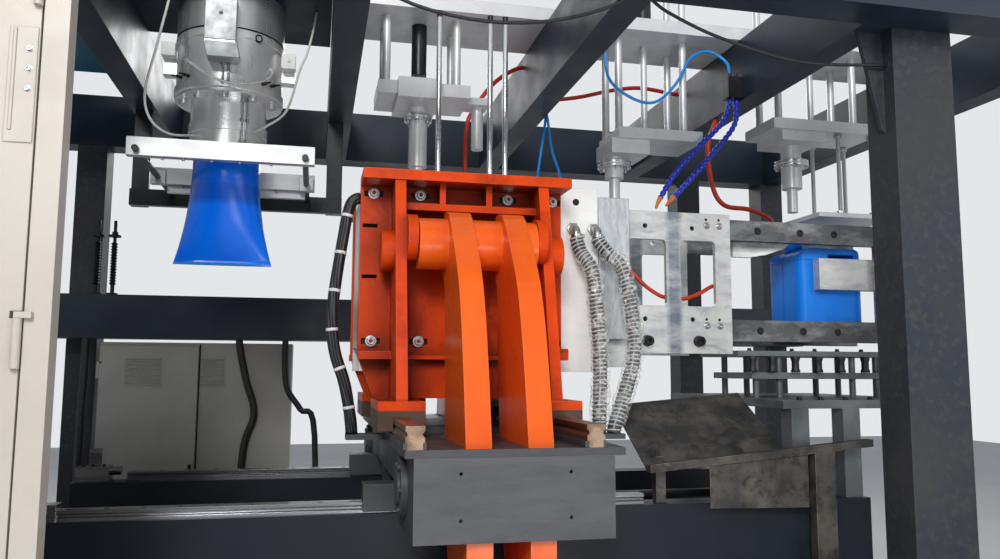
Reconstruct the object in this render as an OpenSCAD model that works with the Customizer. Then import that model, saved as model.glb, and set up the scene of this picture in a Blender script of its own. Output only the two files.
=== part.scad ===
// Shuttle blow moulding machine for jerrycans: extrusion head, sliding clamp
// carriage with rocker arms, blow station, cooling and deflashing stations.
// X runs along the shuttle, Y across the machine, Z up, all in millimetres.

/* [Frame] */
// Length of the base frame along X
base_len = 5120; // [4900:10:5600]
// Width of the base frame along Y
base_wid = 3120; // [3000:10:3400]
// Height of the base frame members
base_h = 160; // [100:10:180]
// Height of the overhead beams' underside
beam_z = 2790; // [2790:10:3000]
// Height of the overhead beam section
beam_h = 300; // [200:10:360]
// Width of the overhead beams
beam_w = 120; // [80:5:130]
// Distance from one overhead beam to the next
beam_pitch = 960; // [940:5:980]
// Side of the square columns
column_w = 160; // [120:5:170]
// Height of the rear middle beam
mid_beam_h = 240; // [160:10:280]

/* [Bed] */
// Height of the bed beams' top face
bed_z = 985; // [970:1:985]
// Distance of the shuttle rails from the middle
rail_y = 550; // [530:5:560]
// Width of the shuttle rails
rail_w = 60; // [40:1:66]
// Height of the shuttle rails
rail_h = 40; // [30:1:42]
// Left end of the shuttle rails
rail_x0 = -1410; // [-1460:5:-1380]

/* [Carriage] */
// Left face of the carriage block
car_x0 = -268; // [-275:1:-250]
// Right face of the carriage block
car_x1 = 388; // [375:1:395]
// Distance of the carriage end plates from the middle
car_y = 1100; // [1095:1:1130]
// Thickness of the carriage end plates
end_t = 16; // [10:1:18]
// Thickness of the carriage side plates
side_t = 25; // [16:1:30]
// Width of the clamp rails
clamp_rail_w = 62; // [50:1:66]

/* [Clamp] */
// Distance of the rocker pivots from the middle
pivot_y = 850; // [845:1:855]
// Height of the rocker pivots
pivot_z = 1112; // [1105:1:1118]
// Pivot shaft diameter
pivot_d = 120; // [90:1:130]
// Distance of the rocker cross tube from the middle
shaft_y = 560; // [556:1:562]
// Height of the rocker cross tube
shaft_z = 1985; // [1975:1:1990]
// Rocker cross tube diameter
tube_d = 196; // [150:1:200]
// Diameter of the shaft in the cross tube
shaft_d = 64; // [50:1:66]
// Thickness of one rocker arm
arm_t = 86; // [60:1:90]
// Distance between the two arms
arm_gap = 208; // [200:1:212]
// Middle of the two arms along X
arm_mid = 52; // [50:1:54]
// Running clearance of shafts in their bores
run_fit = 0.05; // [0.03:0.01:0.08]

/* [Moulds] */
// Front face of the platen plate, from the middle
platen_y = 350; // [345:1:356]
// Platen plate thickness
platen_t = 60; // [40:1:64]
// Thickness of the mould back plates
back_t = 40; // [30:1:45]
// Gap that stays between the closed mould halves
mould_gap = 0.3; // [0.2:0.05:1]
// Width of the jerrycan
can_w = 350; // [330:1:400]
// Depth of the jerrycan
can_d = 300; // [280:1:300]
// Height of the jerrycan body
can_h = 440; // [400:1:440]
// Neck bore of the jerrycan and of the mould
neck_d = 70; // [66:1:74]
// Distance from one station to the next
station_pitch = 950; // [945:1:955]
// Blow pin diameter
pin_d = 52; // [44:1:62]

/* [Head] */
// Middle of the extrusion head along X
head_x = -970; // [-980:1:-960]
// Die body diameter
die_d = 315; // [290:1:320]
// Head shell diameter
shell_d = 441; // [420:1:448]
// Parison diameter at the die
parison_d = 275; // [240:1:280]

/* [Hidden] */
$fn = 40;

half_l = base_len / 2;
half_w = base_wid / 2;
beam_top = beam_z + beam_h;
front_col_x = 1582;
rear_col_x = 1860;
front_beam_y = -1260;
front_col_y = -1100;
end_beam_x = half_l - column_w / 2;
rail_top = bed_z + rail_h;
run_z1 = 1090;
car_top = 1255;
side_z1 = 1230;
spacer_h = 22;
clamp_rail_h = 53;
clamp_rail_z = car_top + spacer_h;
clamp_rail_top = clamp_rail_z + clamp_rail_h;
clamp_rail_xl = -265;
clamp_rail_xr = 325;
arm_xs = [arm_mid - arm_gap / 2, arm_mid + arm_gap / 2];
low_y = -964;
low_z = 324;
low_d = 60;
plate_back = platen_y - platen_t;
back_y = plate_back - back_t;
mould_x0 = -400;
mould_x1 = 440;
can_z0 = 1660;
can_z1 = can_z0 + can_h;
can_x = -35;
can_r = 50;
upper_d = shell_d + 9;
rim_r = (shell_d + die_d) / 4 + 3;
neck_x = -142;
pin_z0 = 2300;
lift_d = 32;
guide_d = 36;
plate_h = 60;

// Cord routes: diameter, direction at the start, direction at the end, points
down = [0, 0, -1];
film_hoses = [
  [58, down, down, [[505, -343, 2070], [520, -360, 2000], [555, -400, 1920],
    [568, -430, 1710], [566, -460, 1500], [545, -500, 1255]]],
  [58, down, down, [[600, -343, 2070], [640, -370, 2000], [690, -400, 1930],
    [722, -430, 1720], [715, -450, 1550], [650, -480, 1370], [606, -500, 1255]]]];
segment_hoses = [
  [26, down, [-0.4, 0, -1], [[1330, -180, 2800], [1290, -180, 2685], [1170, -180, 2560],
    [1045, -180, 2425], [965, -180, 2300], [942, -180, 2250]]],
  [26, down, [-0.5, 0, -1], [[1362, -180, 2800], [1350, -180, 2675], [1250, -180, 2545],
    [1140, -180, 2420], [1055, -180, 2330], [992, -180, 2263]]]];
head_leads = [
  [10, down, [0.64, 0.77, 0], [[-1187, -240, 3090], [-1213, -330, 2790], [-1245, -360, 2575],
    [-1226, -340, 2470], [-1165, -260, 2435], [-1070.5, -121.7, 2470]]],
  [10, [-0.6, -0.8, 0], [-0.79, -0.61, 0], [[-1101.5, -177.3, 2760], [-1110, -290, 2735],
    [-1010, -310, 2665], [-900, -300, 2650], [-800, -230, 2700], [-795.3, -135, 2780]]],
  [10, down, [-0.67, 0.74, 0], [[-610, -50, 3090], [-640, -80, 2900], [-672, -100, 2800],
    [-720, -150, 2600], [-800, -165, 2520], [-859.8, -121.2, 2500]]]];
air_lines = [
  [14, down, down, [[720, -135, 3090], [730, -135, 2880], [840, -135, 2785],
    [965, -135, 2770], [1075, -135, 2870], [1150, -135, 3000], [1245, -135, 3045],
    [1325, -160, 2990], [1330, -180, 2925]]],
  [14, [1, 0, 0], down, [[540, 320, 2900], [556, 320, 2885], [552, 320, 2760],
    [500, 290, 2450], [490, 270, 2297.3]]],
  [14, [1, 0, 0], down, [[540, 300, 2830], [557, 300, 2812], [584, 300, 2630],
    [630, 300, 2475], [600, 270, 2297.3]]]];
water_lines = [
  [22, [-1, 0, 0], down, [[420, 270, 3040], [280, 270, 2955], [175, 270, 2810],
    [130, 270, 2680], [130, 270, 2297.3]]],
  [22, [1, 0, 0], [1, 0, 0], [[540, 500, 2950], [775, 500, 2985], [975, 500, 3040],
    [1155, 500, 3070], [1380, 500, 3050]]],
  [24, down, down, [[1400, 100, 2790], [1353, 100, 2650], [1370, 100, 2445],
    [1440, 110, 2345], [1605, 150, 2337], [1760, 212, 2300], [1795, 220, 2200.3]]]];
beam_cables = [
  [12, down, [0, 0, 1], [[-420, -1180, 2790], [-345, -1180, 2670], [-60, -1180, 2622],
    [235, -1180, 2668], [440, -1180, 2790]]],
  [12, [1, 0, 0], [1, 0, 0], [[540, -1060, 2823], [620, -1060, 2775], [820, -1060, 2700],
    [1140, -1060, 2637], [1502, -1060, 2655]]]];
oil_hoses = [
  [40, down, down, [[-1795, 1225, 1670], [-1795, 1225, 1450], [-1800, 1225, 1200],
    [-1800, 1225, 0]]],
  [40, down, down, [[-992, 1225, 1670], [-947, 1225, 1445], [-898, 1225, 1250],
    [-956, 1225, 975], [-956, 1225, 0]]],
  [34, down, down, [[-738, 1225, 1670], [-725, 1225, 1415], [-645, 1225, 1280],
    [-560, 1225, 1130], [-540, 1225, 0]]]];
platen_bundle = [44, [-1, 0, 0], down, [[-410, -320, 2200], [-450, -322, 2170],
  [-475, -332, 2040], [-512, -360, 1740], [-500, -370, 1580], [-456, -380, 1440],
  [-427, -385, 1255]]];

// Small helpers

// A box given by its limits
module blk(x0, x1, y0, y1, z0, z1) {
  translate([x0, y0, z0])
    cube([x1 - x0, y1 - y0, z1 - z0]);
}

// A round bar along X, Y or Z
module bar_x(x0, x1, y, z, d) {
  translate([x0, y, z])
    rotate([0, 90, 0])
      cylinder(h = x1 - x0, d = d);
}
module bar_y(y0, y1, x, z, d) {
  translate([x, y0, z])
    rotate([-90, 0, 0])
      cylinder(h = y1 - y0, d = d);
}
module bar_z(z0, z1, x, y, d) {
  translate([x, y, z0])
    cylinder(h = z1 - z0, d = d);
}

// A plate with its outline in Y and Z, extruded along X
module yz_plate(x0, t, pts) {
  translate([x0, 0, 0])
    rotate([90, 0, 90])
      linear_extrude(height = t)
        polygon(pts);
}

// A plate with its outline in X and Z, extruded along Y
module xz_plate(y0, t, pts) {
  translate([0, y0 + t, 0])
    rotate([90, 0, 0])
      linear_extrude(height = t)
        polygon(pts);
}

// Corner points of a rounded rectangle
function arc(cx, cy, r, a0, a1, n) =
  [for (i = [0:n]) let (a = a0 + (a1 - a0) * i / n) [cx + r * cos(a), cy + r * sin(a)]];
function rrect(x0, x1, y0, y1, r, n) = concat(
  arc(x1 - r, y1 - r, r, 0, 90, n),
  arc(x0 + r, y1 - r, r, 90, 180, n),
  arc(x0 + r, y0 + r, r, 180, 270, n),
  arc(x1 - r, y0 + r, r, 270, 360, n));

// Smooth curve through points
function cr(a, b, c, d, t) = 0.5 * (2 * b + (c - a) * t
  + (2 * a - 5 * b + 4 * c - d) * t * t + (3 * b - a - 3 * c + d) * t * t * t);
function smooth(p, n) = let (m = len(p) - 1) concat(
  [for (i = [0:m - 1], j = [0:n - 1])
    cr(p[max(i - 1, 0)], p[i], p[i + 1], p[min(i + 2, m)], j / n)], [p[m]]);

// Both sides of the middle plane
module both_y() {
  children();
  mirror([0, 1, 0])
    children();
}

// Frame

module base_side_members() {
  color("#33373f")
    both_y()
      blk(-half_l, half_l, -half_w, -half_w + beam_w, 0, base_h);
}

module base_cross_members() {
  color("#33373f")
    for (x = [-end_beam_x, -front_col_x, front_col_x, end_beam_x])
      blk(x - column_w / 2, x + column_w / 2, -half_w + beam_w, half_w - beam_w, 0, base_h);
}

module base_inner_members() {
  color("#33373f")
    both_y()
      blk(-front_col_x + column_w / 2, front_col_x - column_w / 2,
        -rail_y - 40, -rail_y + 80, 0, base_h);
}

module columns() {
  color("#33373f") {
    for (x = [-front_col_x, front_col_x])
      blk(x - column_w / 2, x + column_w / 2, front_col_y, front_col_y + column_w,
        base_h, beam_top);
    for (x = [-end_beam_x, end_beam_x])
      blk(x - column_w / 2, x + column_w / 2, front_col_y, front_col_y + column_w,
        base_h, beam_z);
    for (x = [-end_beam_x, -rear_col_x, rear_col_x, end_beam_x])
      blk(x - column_w / 2, x + column_w / 2, half_w - column_w, half_w, base_h, beam_z);
    blk(front_col_x + column_w / 2, front_col_x + column_w / 2 + 95,
      front_col_y, front_col_y + 60, base_h, beam_z);
    for (s = [-1, 1])
      xz_plate(front_col_y + 60, 20, [
        [s * (front_col_x - column_w / 2), beam_z],
        [s * (front_col_x - column_w / 2 - 100), beam_z],
        [s * (front_col_x - column_w / 2 - 12), beam_z - 380],
        [s * (front_col_x - column_w / 2), beam_z - 390]]);
  }
}

module top_cross_beams() {
  color("#33373f") {
    blk(-half_l, half_l, front_beam_y, front_col_y, beam_z, beam_top);
    blk(-half_l, half_l, half_w - column_w, half_w, beam_z, beam_top);
  }
}

module top_side_beams() {
  color("#33373f") {
    for (i = [-1.5, -0.5, 0.5, 1.5])
      blk(i * beam_pitch - beam_w / 2, i * beam_pitch + beam_w / 2,
        front_col_y, half_w - column_w, beam_z, beam_top);
    for (x = [-end_beam_x, end_beam_x])
      blk(x - beam_w / 2, x + beam_w / 2, front_col_y, half_w - column_w, beam_z, beam_top);
  }
}

module rear_mid_beam() {
  color("#33373f")
    blk(-half_l, half_l, half_w - column_w - 200, half_w - column_w, 1670, 1670 + mid_beam_h);
}

// Bed and shuttle drive

module bed_beams() {
  color("#33373f")
    both_y()
      blk(-1640, 1700, -rail_y - 40, -rail_y + 80, 640, bed_z);
}

module bed_supports() {
  color("#33373f") {
    both_y()
      for (x = [-1582, 560, 1582])
        blk(x - 60, x + 60, -rail_y - 40, -rail_y + 80, base_h, 640);
    for (x = [-1640, 700, 1500])
      blk(x, x + 60, -rail_y + 80, rail_y - 80, 730, 830);
  }
}

module shuttle_rails() {
  w = rail_w / 2;
  color("#8f949a") {
    both_y()
      yz_plate(rail_x0, 700 - rail_x0, [
        [-rail_y - w, bed_z], [-rail_y + w, bed_z], [-rail_y + w, bed_z + 12],
        [-rail_y + w - 7, bed_z + 18], [-rail_y + w - 7, bed_z + 24],
        [-rail_y + w, bed_z + 29], [-rail_y + w, rail_top], [-rail_y - w, rail_top],
        [-rail_y - w, bed_z + 29], [-rail_y - w + 7, bed_z + 24],
        [-rail_y - w + 7, bed_z + 18], [-rail_y - w, bed_z + 12]]);
    blk(-1624, -1483, rail_y - 60, rail_y + 30, bed_z, bed_z + 70);
    blk(-1575, -1525, rail_y - 30, rail_y - 10, bed_z + 70, bed_z + 150);
    bar_x(-1483, -1440, rail_y, bed_z + 45, 40);
    blk(-1475, rail_x0, -rail_y - 34, -rail_y + 34, bed_z, bed_z + 60);
  }
}

module shuttle_cylinder() {
  color("#2c2f33")
    difference() {
      union() {
        bar_x(570, 1590, 0, 900, 110);
        blk(700, 760, -70, 70, 830, 970);
        blk(1500, 1560, -70, 70, 830, 970);
        bar_x(560, 600, 0, 900, 130);
      }
      bar_x(540, 1570, 0, 900, 44 + 2 * run_fit);
    }
}

module shuttle_rod() {
  color("#c8ccd0")
    bar_x(car_x1, 1560, 0, 900, 44);
}

// Carriage

module carriage_top() {
  color("#3d4046")
    difference() {
      blk(-296, 425, -car_y, car_y, side_z1, car_top);
      both_y()
        for (x = arm_xs)
          blk(x - arm_t / 2 - 8, x + arm_t / 2 + 8, -car_y + end_t, -540, side_z1 - 5, car_top + 5);
    }
  color("#3d4046") {
    blk(-450, -290, -430, -330, side_z1 + 5, car_top);
    blk(420, 640, -545, -455, side_z1 + 5, car_top);
  }
}

module carriage_sides() {
  color("#3d4046")
    for (x = [car_x0, car_x1 - side_t])
      difference() {
        yz_plate(x, side_t, [
          [-car_y + end_t, 967], [-700, 967], [-640, run_z1], [-70, run_z1],
          [-70, 850], [70, 850], [70, run_z1], [640, run_z1], [700, 967],
          [car_y - end_t, 967], [car_y - end_t, side_z1], [-car_y + end_t, side_z1]]);
        for (s = [-1, 1])
          bar_x(x - 5, x + side_t + 5, s * pivot_y, pivot_z, pivot_d + 2 * run_fit);
      }
}

module carriage_ends() {
  color("#3d4046")
    both_y()
      difference() {
        blk(car_x0, car_x1, -car_y, -car_y + end_t, 967, side_z1);
        for (x = [-120, 239], z = [1037, 1180])
          bar_y(-car_y - 5, -car_y + end_t + 5, x, z, 12);
      }
}

module clamp_rails() {
  w = clamp_rail_w / 2;
  color("#6d4a36")
    for (x = [clamp_rail_xl, clamp_rail_xr]) {
      blk(x - w + 6, x + w - 6, -car_y, car_y, car_top, clamp_rail_z);
      xz_plate(-car_y, 2 * car_y, [
        [x - w, clamp_rail_z], [x + w, clamp_rail_z], [x + w, clamp_rail_z + 16],
        [x + w - 7, clamp_rail_z + 23], [x + w - 7, clamp_rail_z + 30],
        [x + w, clamp_rail_z + 37], [x + w, clamp_rail_top], [x - w, clamp_rail_top],
        [x - w, clamp_rail_z + 37], [x - w + 7, clamp_rail_z + 30],
        [x - w + 7, clamp_rail_z + 23], [x - w, clamp_rail_z + 16]]);
    }
}

module carriage_runners() {
  w = rail_w / 2;
  color("#55595f")
    both_y()
      for (x = [-390, 320])
        difference() {
          blk(x, x + 190, -rail_y - 52, -rail_y + 52, bed_z + 8, run_z1);
          blk(x - 5, x + 195, -rail_y - w - 0.3, -rail_y + w + 0.3, bed_z, rail_top + 0.3);
        }
}

module pivot_shafts() {
  color("#9a9ea3")
    both_y() {
      bar_x(car_x0 - 30, car_x1 + 30, -pivot_y, pivot_z, pivot_d);
      difference() {
        union() {
          bar_x(car_x0 - 22, car_x0, -pivot_y, pivot_z, 200);
          bar_x(car_x1, car_x1 + 22, -pivot_y, pivot_z, 200);
        }
      }
      for (a = [0:60:300])
        bar_x(car_x0 - 30, car_x0 - 22, -pivot_y + 80 * cos(a), pivot_z + 80 * sin(a), 18);
    }
}

// Rocker arms

// Outline of one arm, front edge first, from the top tube to the lower pin
arm_front = [[-520, 2112], [-624, 2098], [-710, 2022], [-784, 1935], [-872, 1813],
  [-932, 1672], [-972, 1541], [-1005, 1413], [-1028, 1312], [-1044, 1240],
  [-1056, 1112], [-1066, 1000], [-1070, 900], [-1066, 760], [-1052, 600],
  [-1036, 460], [-1030, 340]];
arm_back = [[-900, 320], [-875, 400], [-790, 560], [-735, 700], [-690, 850],
  [-650, 985], [-622, 1120], [-605, 1245], [-590, 1402], [-577, 1560],
  [-568, 1700], [-540, 1830], [-470, 1900], [-440, 1960], [-440, 2030]];

module rocker() {
  color("#e8521c")
    difference() {
      union() {
        for (x = arm_xs) {
          yz_plate(x - arm_t / 2, arm_t, concat(smooth(arm_front, 3), smooth(arm_back, 3)));
          bar_x(x - arm_t / 2, x + arm_t / 2, low_y, low_z, 132);
        }
        bar_x(-204, 254, -shaft_y, shaft_z, tube_d);
        bar_x(-242, 292, -shaft_y, shaft_z, shaft_d);
        bar_x(car_x0 + side_t + 4, car_x1 - side_t - 4, -pivot_y, pivot_z, pivot_d + 70);
      }
      bar_x(-350, 400, -pivot_y, pivot_z, pivot_d + 2 * run_fit);
      bar_x(-200, 300, low_y, low_z, low_d - 20);
    }
}

module lower_pin() {
  color("#e8521c")
    bar_x(arm_xs[0] - arm_t / 2 - 12, arm_xs[1] + arm_t / 2 + 12, low_y, low_z, low_d);
}

module front_rocker() {
  rocker();
  lower_pin();
}

module rear_rocker() {
  mirror([0, 1, 0]) {
    rocker();
    lower_pin();
  }
}

module clamp_cylinder() {
  color("#2c2f33")
    difference() {
      union() {
        bar_y(-900, 60, arm_mid, low_z, 100);
        bar_y(20, 60, arm_mid, low_z, 116);
        bar_x(arm_mid - 46, arm_mid + 46, low_y, low_z, 116);
        blk(arm_mid - 46, arm_mid + 46, low_y, -880, low_z - 40, low_z + 40);
      }
      bar_x(arm_mid - 60, arm_mid + 60, low_y, low_z, low_d + 2 * run_fit);
      bar_y(-865, 80, arm_mid, low_z, 50 + 2 * run_fit);
    }
}

module clamp_rod() {
  color("#c8ccd0")
    difference() {
      union() {
        bar_y(-395, -low_y - 50, arm_mid, low_z, 50);
        bar_x(arm_mid - 46, arm_mid + 46, -low_y, low_z, 116);
      }
      bar_x(arm_mid - 60, arm_mid + 60, -low_y, low_z, low_d + 1.6);
    }
}

// Platens and moulds, drawn for the front side

module platen() {
  rib_x = [-265, 315];
  slot_top = shaft_z + 47;
  bolts = [for (x = [-359, -169, 199, 392], z = [1617, 2215]) [x, z]];
  color("#e8521c") {
    difference() {
      union() {
        xz_plate(-platen_y, platen_t, [
          [-410, 2285], [433, 2285], [433, 1560], [363, 1390], [-340, 1390], [-410, 1560]]);
        blk(-410, 433, -510, -platen_y, 2245, 2285);
        for (x = rib_x)
          yz_plate(x - 21, 42, [
            [-platen_y, 2245], [-502, 2245], [-692, 1400], [-692, 1390], [-platen_y, 1390]]);
        for (x = [clamp_rail_xl, clamp_rail_xr])
          blk(x - 85, x + 85, -700, -plate_back, 1357, 1390);
        blk(-410, -286, -450, -platen_y, 1545, 1575);
        blk(336, 433, -450, -platen_y, 1545, 1575);
        blk(-244, 294, -410, -platen_y, 1545, 1560);
        blk(-244, 294, -450, -platen_y, 2137, 2165);
        for (x = [-90, 100])
          blk(x - 12, x + 12, -450, -platen_y, 2165, 2245);
        for (x = [rib_x[0] + 20, rib_x[1] - 57])
          bar_x(x, x + 37, -shaft_y + 1, shaft_z + 23, 176);
        for (x = [rib_x[0] - 71, rib_x[1] + 20])
          bar_x(x, x + 51, -475, 1965, 165);
      }
      for (x = [rib_x[0] + 21, rib_x[1] - 58]) {
        bar_x(x, x + 37, -shaft_y + 1, shaft_z, shaft_d + 3);
        bar_x(x, x + 37, -shaft_y + 1, slot_top, shaft_d + 3);
        blk(x, x + 37, -shaft_y + 1 - shaft_d / 2 - 1.5, -shaft_y + 1 + shaft_d / 2 + 1.5,
          shaft_z, slot_top);
      }
      for (z = [1876, 2083])
        blk(-400, -340, -platen_y - 5, -platen_y + 30, z - 8, z + 8);
      for (b = bolts)
        blk(b[0] - 38, b[0] + 38, -platen_y - 5, -platen_y + 15, b[1] - 12, b[1] + 12);
    }
    for (b = bolts) {
      bar_y(-platen_y - 6, -platen_y + 16, b[0], b[1], 40);
      bar_y(-platen_y - 24, -platen_y - 6, b[0], b[1], 30);
    }
    bar_x(433, 470, -320, 1580, 30);
  }
}

module platen_runners() {
  color("#5a3a2a")
    for (x = [clamp_rail_xl, clamp_rail_xr], y = [-700, -470])
      difference() {
        blk(x - 85, x + 85, y, y + 180, car_top + 30, 1357);
        blk(x - clamp_rail_w / 2 - 0.3, x + clamp_rail_w / 2 + 0.3, y - 5, y + 185,
          car_top, clamp_rail_top + 0.3);
      }
}

// The blown shape, with rounded upright and level edges
module can_form(x) {
  intersection() {
    xz_plate(-can_d / 2, can_d, rrect(x - can_w / 2, x + can_w / 2, can_z0, can_z1, 60, 6));
    translate([0, 0, can_z0])
      linear_extrude(height = can_h)
        polygon(rrect(x - can_w / 2, x + can_w / 2, -can_d / 2, can_d / 2, can_r, 5));
  }
}

module mould_half() {
  color("#d9dcdf") {
    difference() {
      union() {
        blk(-400, 621, -plate_back, -back_y, 1498, 2297);
        blk(mould_x0, mould_x1, -back_y, -mould_gap / 2, 1600, 2250);
      }
      can_form(can_x);
      bar_z(can_z1 - 20, 2260, neck_x, 0, neck_d);
      bar_z(can_z1 + 80, 2260, neck_x, 0, neck_d + 30);
      for (x = [-330, 370], z = [1650, 2200])
        bar_y(-40, 5, x, z, 36);
    }
  }
}

module mask(front) {
  color("#d9dcdf") {
    difference() {
      union() {
        blk(mould_x1, 766, -back_y, -205, 1520, 2268);
        blk(766, 1279, -240, -215, 1582, 2223);
      }
      for (x0 = [780, 1032])
        xz_plate(-245, 40, rrect(x0, x0 == 780 ? 962 : 1203, 1795, 2095, 20, 4));
      for (p = [[862, 2155], [1091, 2152], [857, 1735], [1086, 1735]])
        bar_y(-245, -210, p[0], p[1], 22);
    }
    blk(1279, 2240, -240, -200, 2104, 2200);
    blk(1279, 2240, -240, -200, 1640, 1738);
    blk(2050, 2130, -235, -200, 1738, 2104);
    if (front)
      xz_plate(-225, 20, [[1300, 2104], [1594, 2104], [1565, 2078], [1469, 2045], [1386, 2030],
        [1300, 2030]]);
    blk(1762, 2100, -200, -can_d / 2 - (front ? 0 : 0.3), 1894, 2044);
  }
}

module front_platen() {
  platen();
}
module front_runners() {
  platen_runners();
}
module front_mould() {
  mould_half();
}
module front_mask() {
  mask(true);
}
module rear_platen() {
  mirror([0, 1, 0])
    platen();
}
module rear_runners() {
  mirror([0, 1, 0])
    platen_runners();
}
module rear_mould() {
  mirror([0, 1, 0])
    mould_half();
}
module rear_mask() {
  mirror([0, 1, 0])
    mask(false);
}

// The blown jerrycan held at the last station
module jerrycan() {
  cx = can_x + 2 * station_pitch;
  nx = neck_x + 2 * station_pitch;
  color("#1478e6")
    difference() {
      union() {
        can_form(cx);
        bar_z(can_z1 - 5, can_z1 + 75, nx, 0, neck_d + 20);
      }
      bar_z(can_z1 - 60, can_z1 + 80, nx, 0, neck_d);
      blk(cx - 20, cx + 120, -can_d / 2 - 5, can_d / 2 + 5, can_z1 - 70, can_z1 - 30);
    }
}

// Stations over the moulds

st1_rods = [[-298, -90], [-298, 90], [20, -90], [20, 90]];
st2_rods = [[800, -90], [800, 90], [1130, -90], [1130, 90]];
st3_rods = [[1640, -90], [1640, 90], [2060, -90], [2060, 90]];
lift_xs = [neck_x, neck_x + station_pitch + 158, neck_x + 2 * station_pitch + 120];

module crosshead(x0, x1, z0, z1, rods, nx, lx) {
  for (p = rods)
    bar_z(z1 - 5, beam_top + 320, p[0], p[1], guide_d);
  bar_z(z1 - 5, beam_top + 300, lx, 0, lift_d);
  blk(x0, x1, -140, 140, z0, z1);
  bar_z(pin_z0, z0 + 5, nx, 0, pin_d);
}

module crosshead_1() {
  color("#c3c7cb") {
    crosshead(-336, 76, 2717, 2775, st1_rods, neck_x, lift_xs[0]);
    blk(-250, -60, -165, 150, 2697, 2787);
    bar_z(2638, 2662, neck_x, 0, 124);
    bar_z(2420, 2700, neck_x, 0, 84);
    blk(60, 181, -60, 60, 2717, 2750);
    bar_z(2520, 2720, 134, 0, 56);
  }
}

module crosshead_2() {
  nx = neck_x + station_pitch;
  color("#c3c7cb") {
    crosshead(783, 1205, 2589, 2640, st2_rods, nx, lift_xs[1]);
    blk(757, 946, -110, 110, 2523, 2595);
    bar_z(2470, 2500, nx, 0, 160);
    bar_z(2420, 2530, nx, 0, 90);
  }
}

module crosshead_3() {
  nx = neck_x + 2 * station_pitch;
  color("#c3c7cb") {
    crosshead(1585, 2175, 2690, 2743, st3_rods, nx, lift_xs[2]);
    blk(1640, 1880, -120, 120, 2640, 2695);
    bar_z(2530, 2560, nx, 0, 165);
    bar_z(2420, 2645, nx, 0, 100);
    for (x = [1953, 2139], y = [-110, 110])
      bar_z(2270, 2700, x, y, 20);
    blk(nx + 48, 2228, -150, 150, 2258, 2280);
  }
}

module station_plates() {
  color("#c3c7cb")
    difference() {
      union() {
        blk(-0.5 * beam_pitch - beam_w / 2, 0.5 * beam_pitch - 2, -200, 210, beam_top, beam_top + plate_h);
        blk(0.5 * beam_pitch + 2, 1.5 * beam_pitch - 2, -200, 210, beam_top, beam_top + plate_h);
        blk(1.5 * beam_pitch + 2, end_beam_x + beam_w / 2, -200, 210, beam_top, beam_top + plate_h);
      }
      for (p = concat(st1_rods, st2_rods, st3_rods))
        bar_z(beam_top - 5, beam_top + plate_h + 5, p[0], p[1], guide_d + 2 * run_fit);
      bar_z(beam_top - 5, beam_top + plate_h + 5, lift_xs[0], 0, 70 + 2 * run_fit);
      for (i = [1, 2])
        bar_z(beam_top - 5, beam_top + plate_h + 5, lift_xs[i], 0, lift_d + 2 * run_fit);
    }
}

module station_drives() {
  color("#c3c7cb")
    for (x = [-74, 156, 225])
      bar_z(2330, beam_top, x, -185, 24);
  color("#2c2f33")
    difference() {
      union() {
        bar_z(2848, beam_top + 460, lift_xs[0], 0, 70);
        bar_z(beam_top + plate_h, beam_top + plate_h + 30, lift_xs[0], 0, 110);
        for (i = [1, 2]) {
          bar_z(beam_top + plate_h, beam_top + 460, lift_xs[i], 0, 80);
          bar_z(beam_top + plate_h, beam_top + plate_h + 30, lift_xs[i], 0, 120);
        }
      }
      for (x = lift_xs)
        bar_z(2840, beam_top + 330, x, 0, lift_d + 2 * run_fit);
    }
}

// Extrusion head and extruder

module head_support() {
  color("#33373f")
    difference() {
      blk(-1.5 * beam_pitch - beam_w / 2 + 2, -0.5 * beam_pitch - beam_w / 2 - 2,
        -350, 350, beam_top, beam_top + plate_h);
      bar_z(beam_top - 5, beam_top + plate_h + 5, head_x, 0, upper_d + 1);
    }
}

module head_upper_shell() {
  color("#b9bdc1") {
    bar_z(2921, beam_top + 330, head_x, 0, upper_d);
    bar_z(beam_top + plate_h, beam_top + plate_h + 40, head_x, 0, upper_d + 150);
    blk(head_x - 130, head_x + 130, -130, 130, beam_top + 330, beam_top + 620);
  }
}

module head_lower_shell() {
  color("#c3c7cb") {
    bar_z(2644, 2921, head_x, 0, shell_d);
    bar_z(2880, 2905, head_x, 0, shell_d + 14);
    bar_z(2660, 2690, head_x, 0, shell_d + 14);
    for (s = [-1, 1])
      blk(head_x + s * (shell_d / 2 + 24) - 30, head_x + s * (shell_d / 2 + 24) + 30,
        -30, 30, 2760, 2830);
  }
}

module die_body() {
  color("#aeb2b6")
    difference() {
      union() {
        bar_z(2422, 2644, head_x, 0, die_d);
        bar_z(2500, 2540, head_x, 0, die_d + 12);
      }
    }
}

module head_fittings() {
  color("#c9ccd0")
    difference() {
      blk(head_x - 75, head_x + 45, -shell_d / 2 - 79, -shell_d / 2 + 40, 2821, 3012);
      bar_z(2800, 3030, head_x, 0, upper_d + 5.6);
    }
  color("#55595f")
    for (a = [200:35:340])
      bar_z(2622, 2644, head_x + rim_r * cos(a), rim_r * sin(a), 34);
}

// Molten tube, round at the die and pinched flat below
function par_ring(t, n) = let (
    f = pow(t, 2.2),
    rx = parison_d / 2 * (1 + 0.47 * f),
    ry = parison_d / 2 * (1 - f) + 5 * f,
    z = 2421.7 - 477.7 * t)
  [for (i = [0:n - 1]) [head_x + rx * cos(360 * i / n), ry * sin(360 * i / n), z]];

module parison() {
  n = 32;
  m = 12;
  pts = [for (k = [0:m]) each par_ring(k / m, n)];
  color("#0f6fe8")
    polyhedron(
      points = pts,
      faces = concat(
        [[for (i = [0:n - 1]) i]],
        [for (k = [0:m - 1], i = [0:n - 1])
          [k * n + i, (k + 1) * n + i, (k + 1) * n + (i + 1) % n, k * n + (i + 1) % n]],
        [[for (i = [n - 1:-1:0]) m * n + i]]));
}

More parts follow.
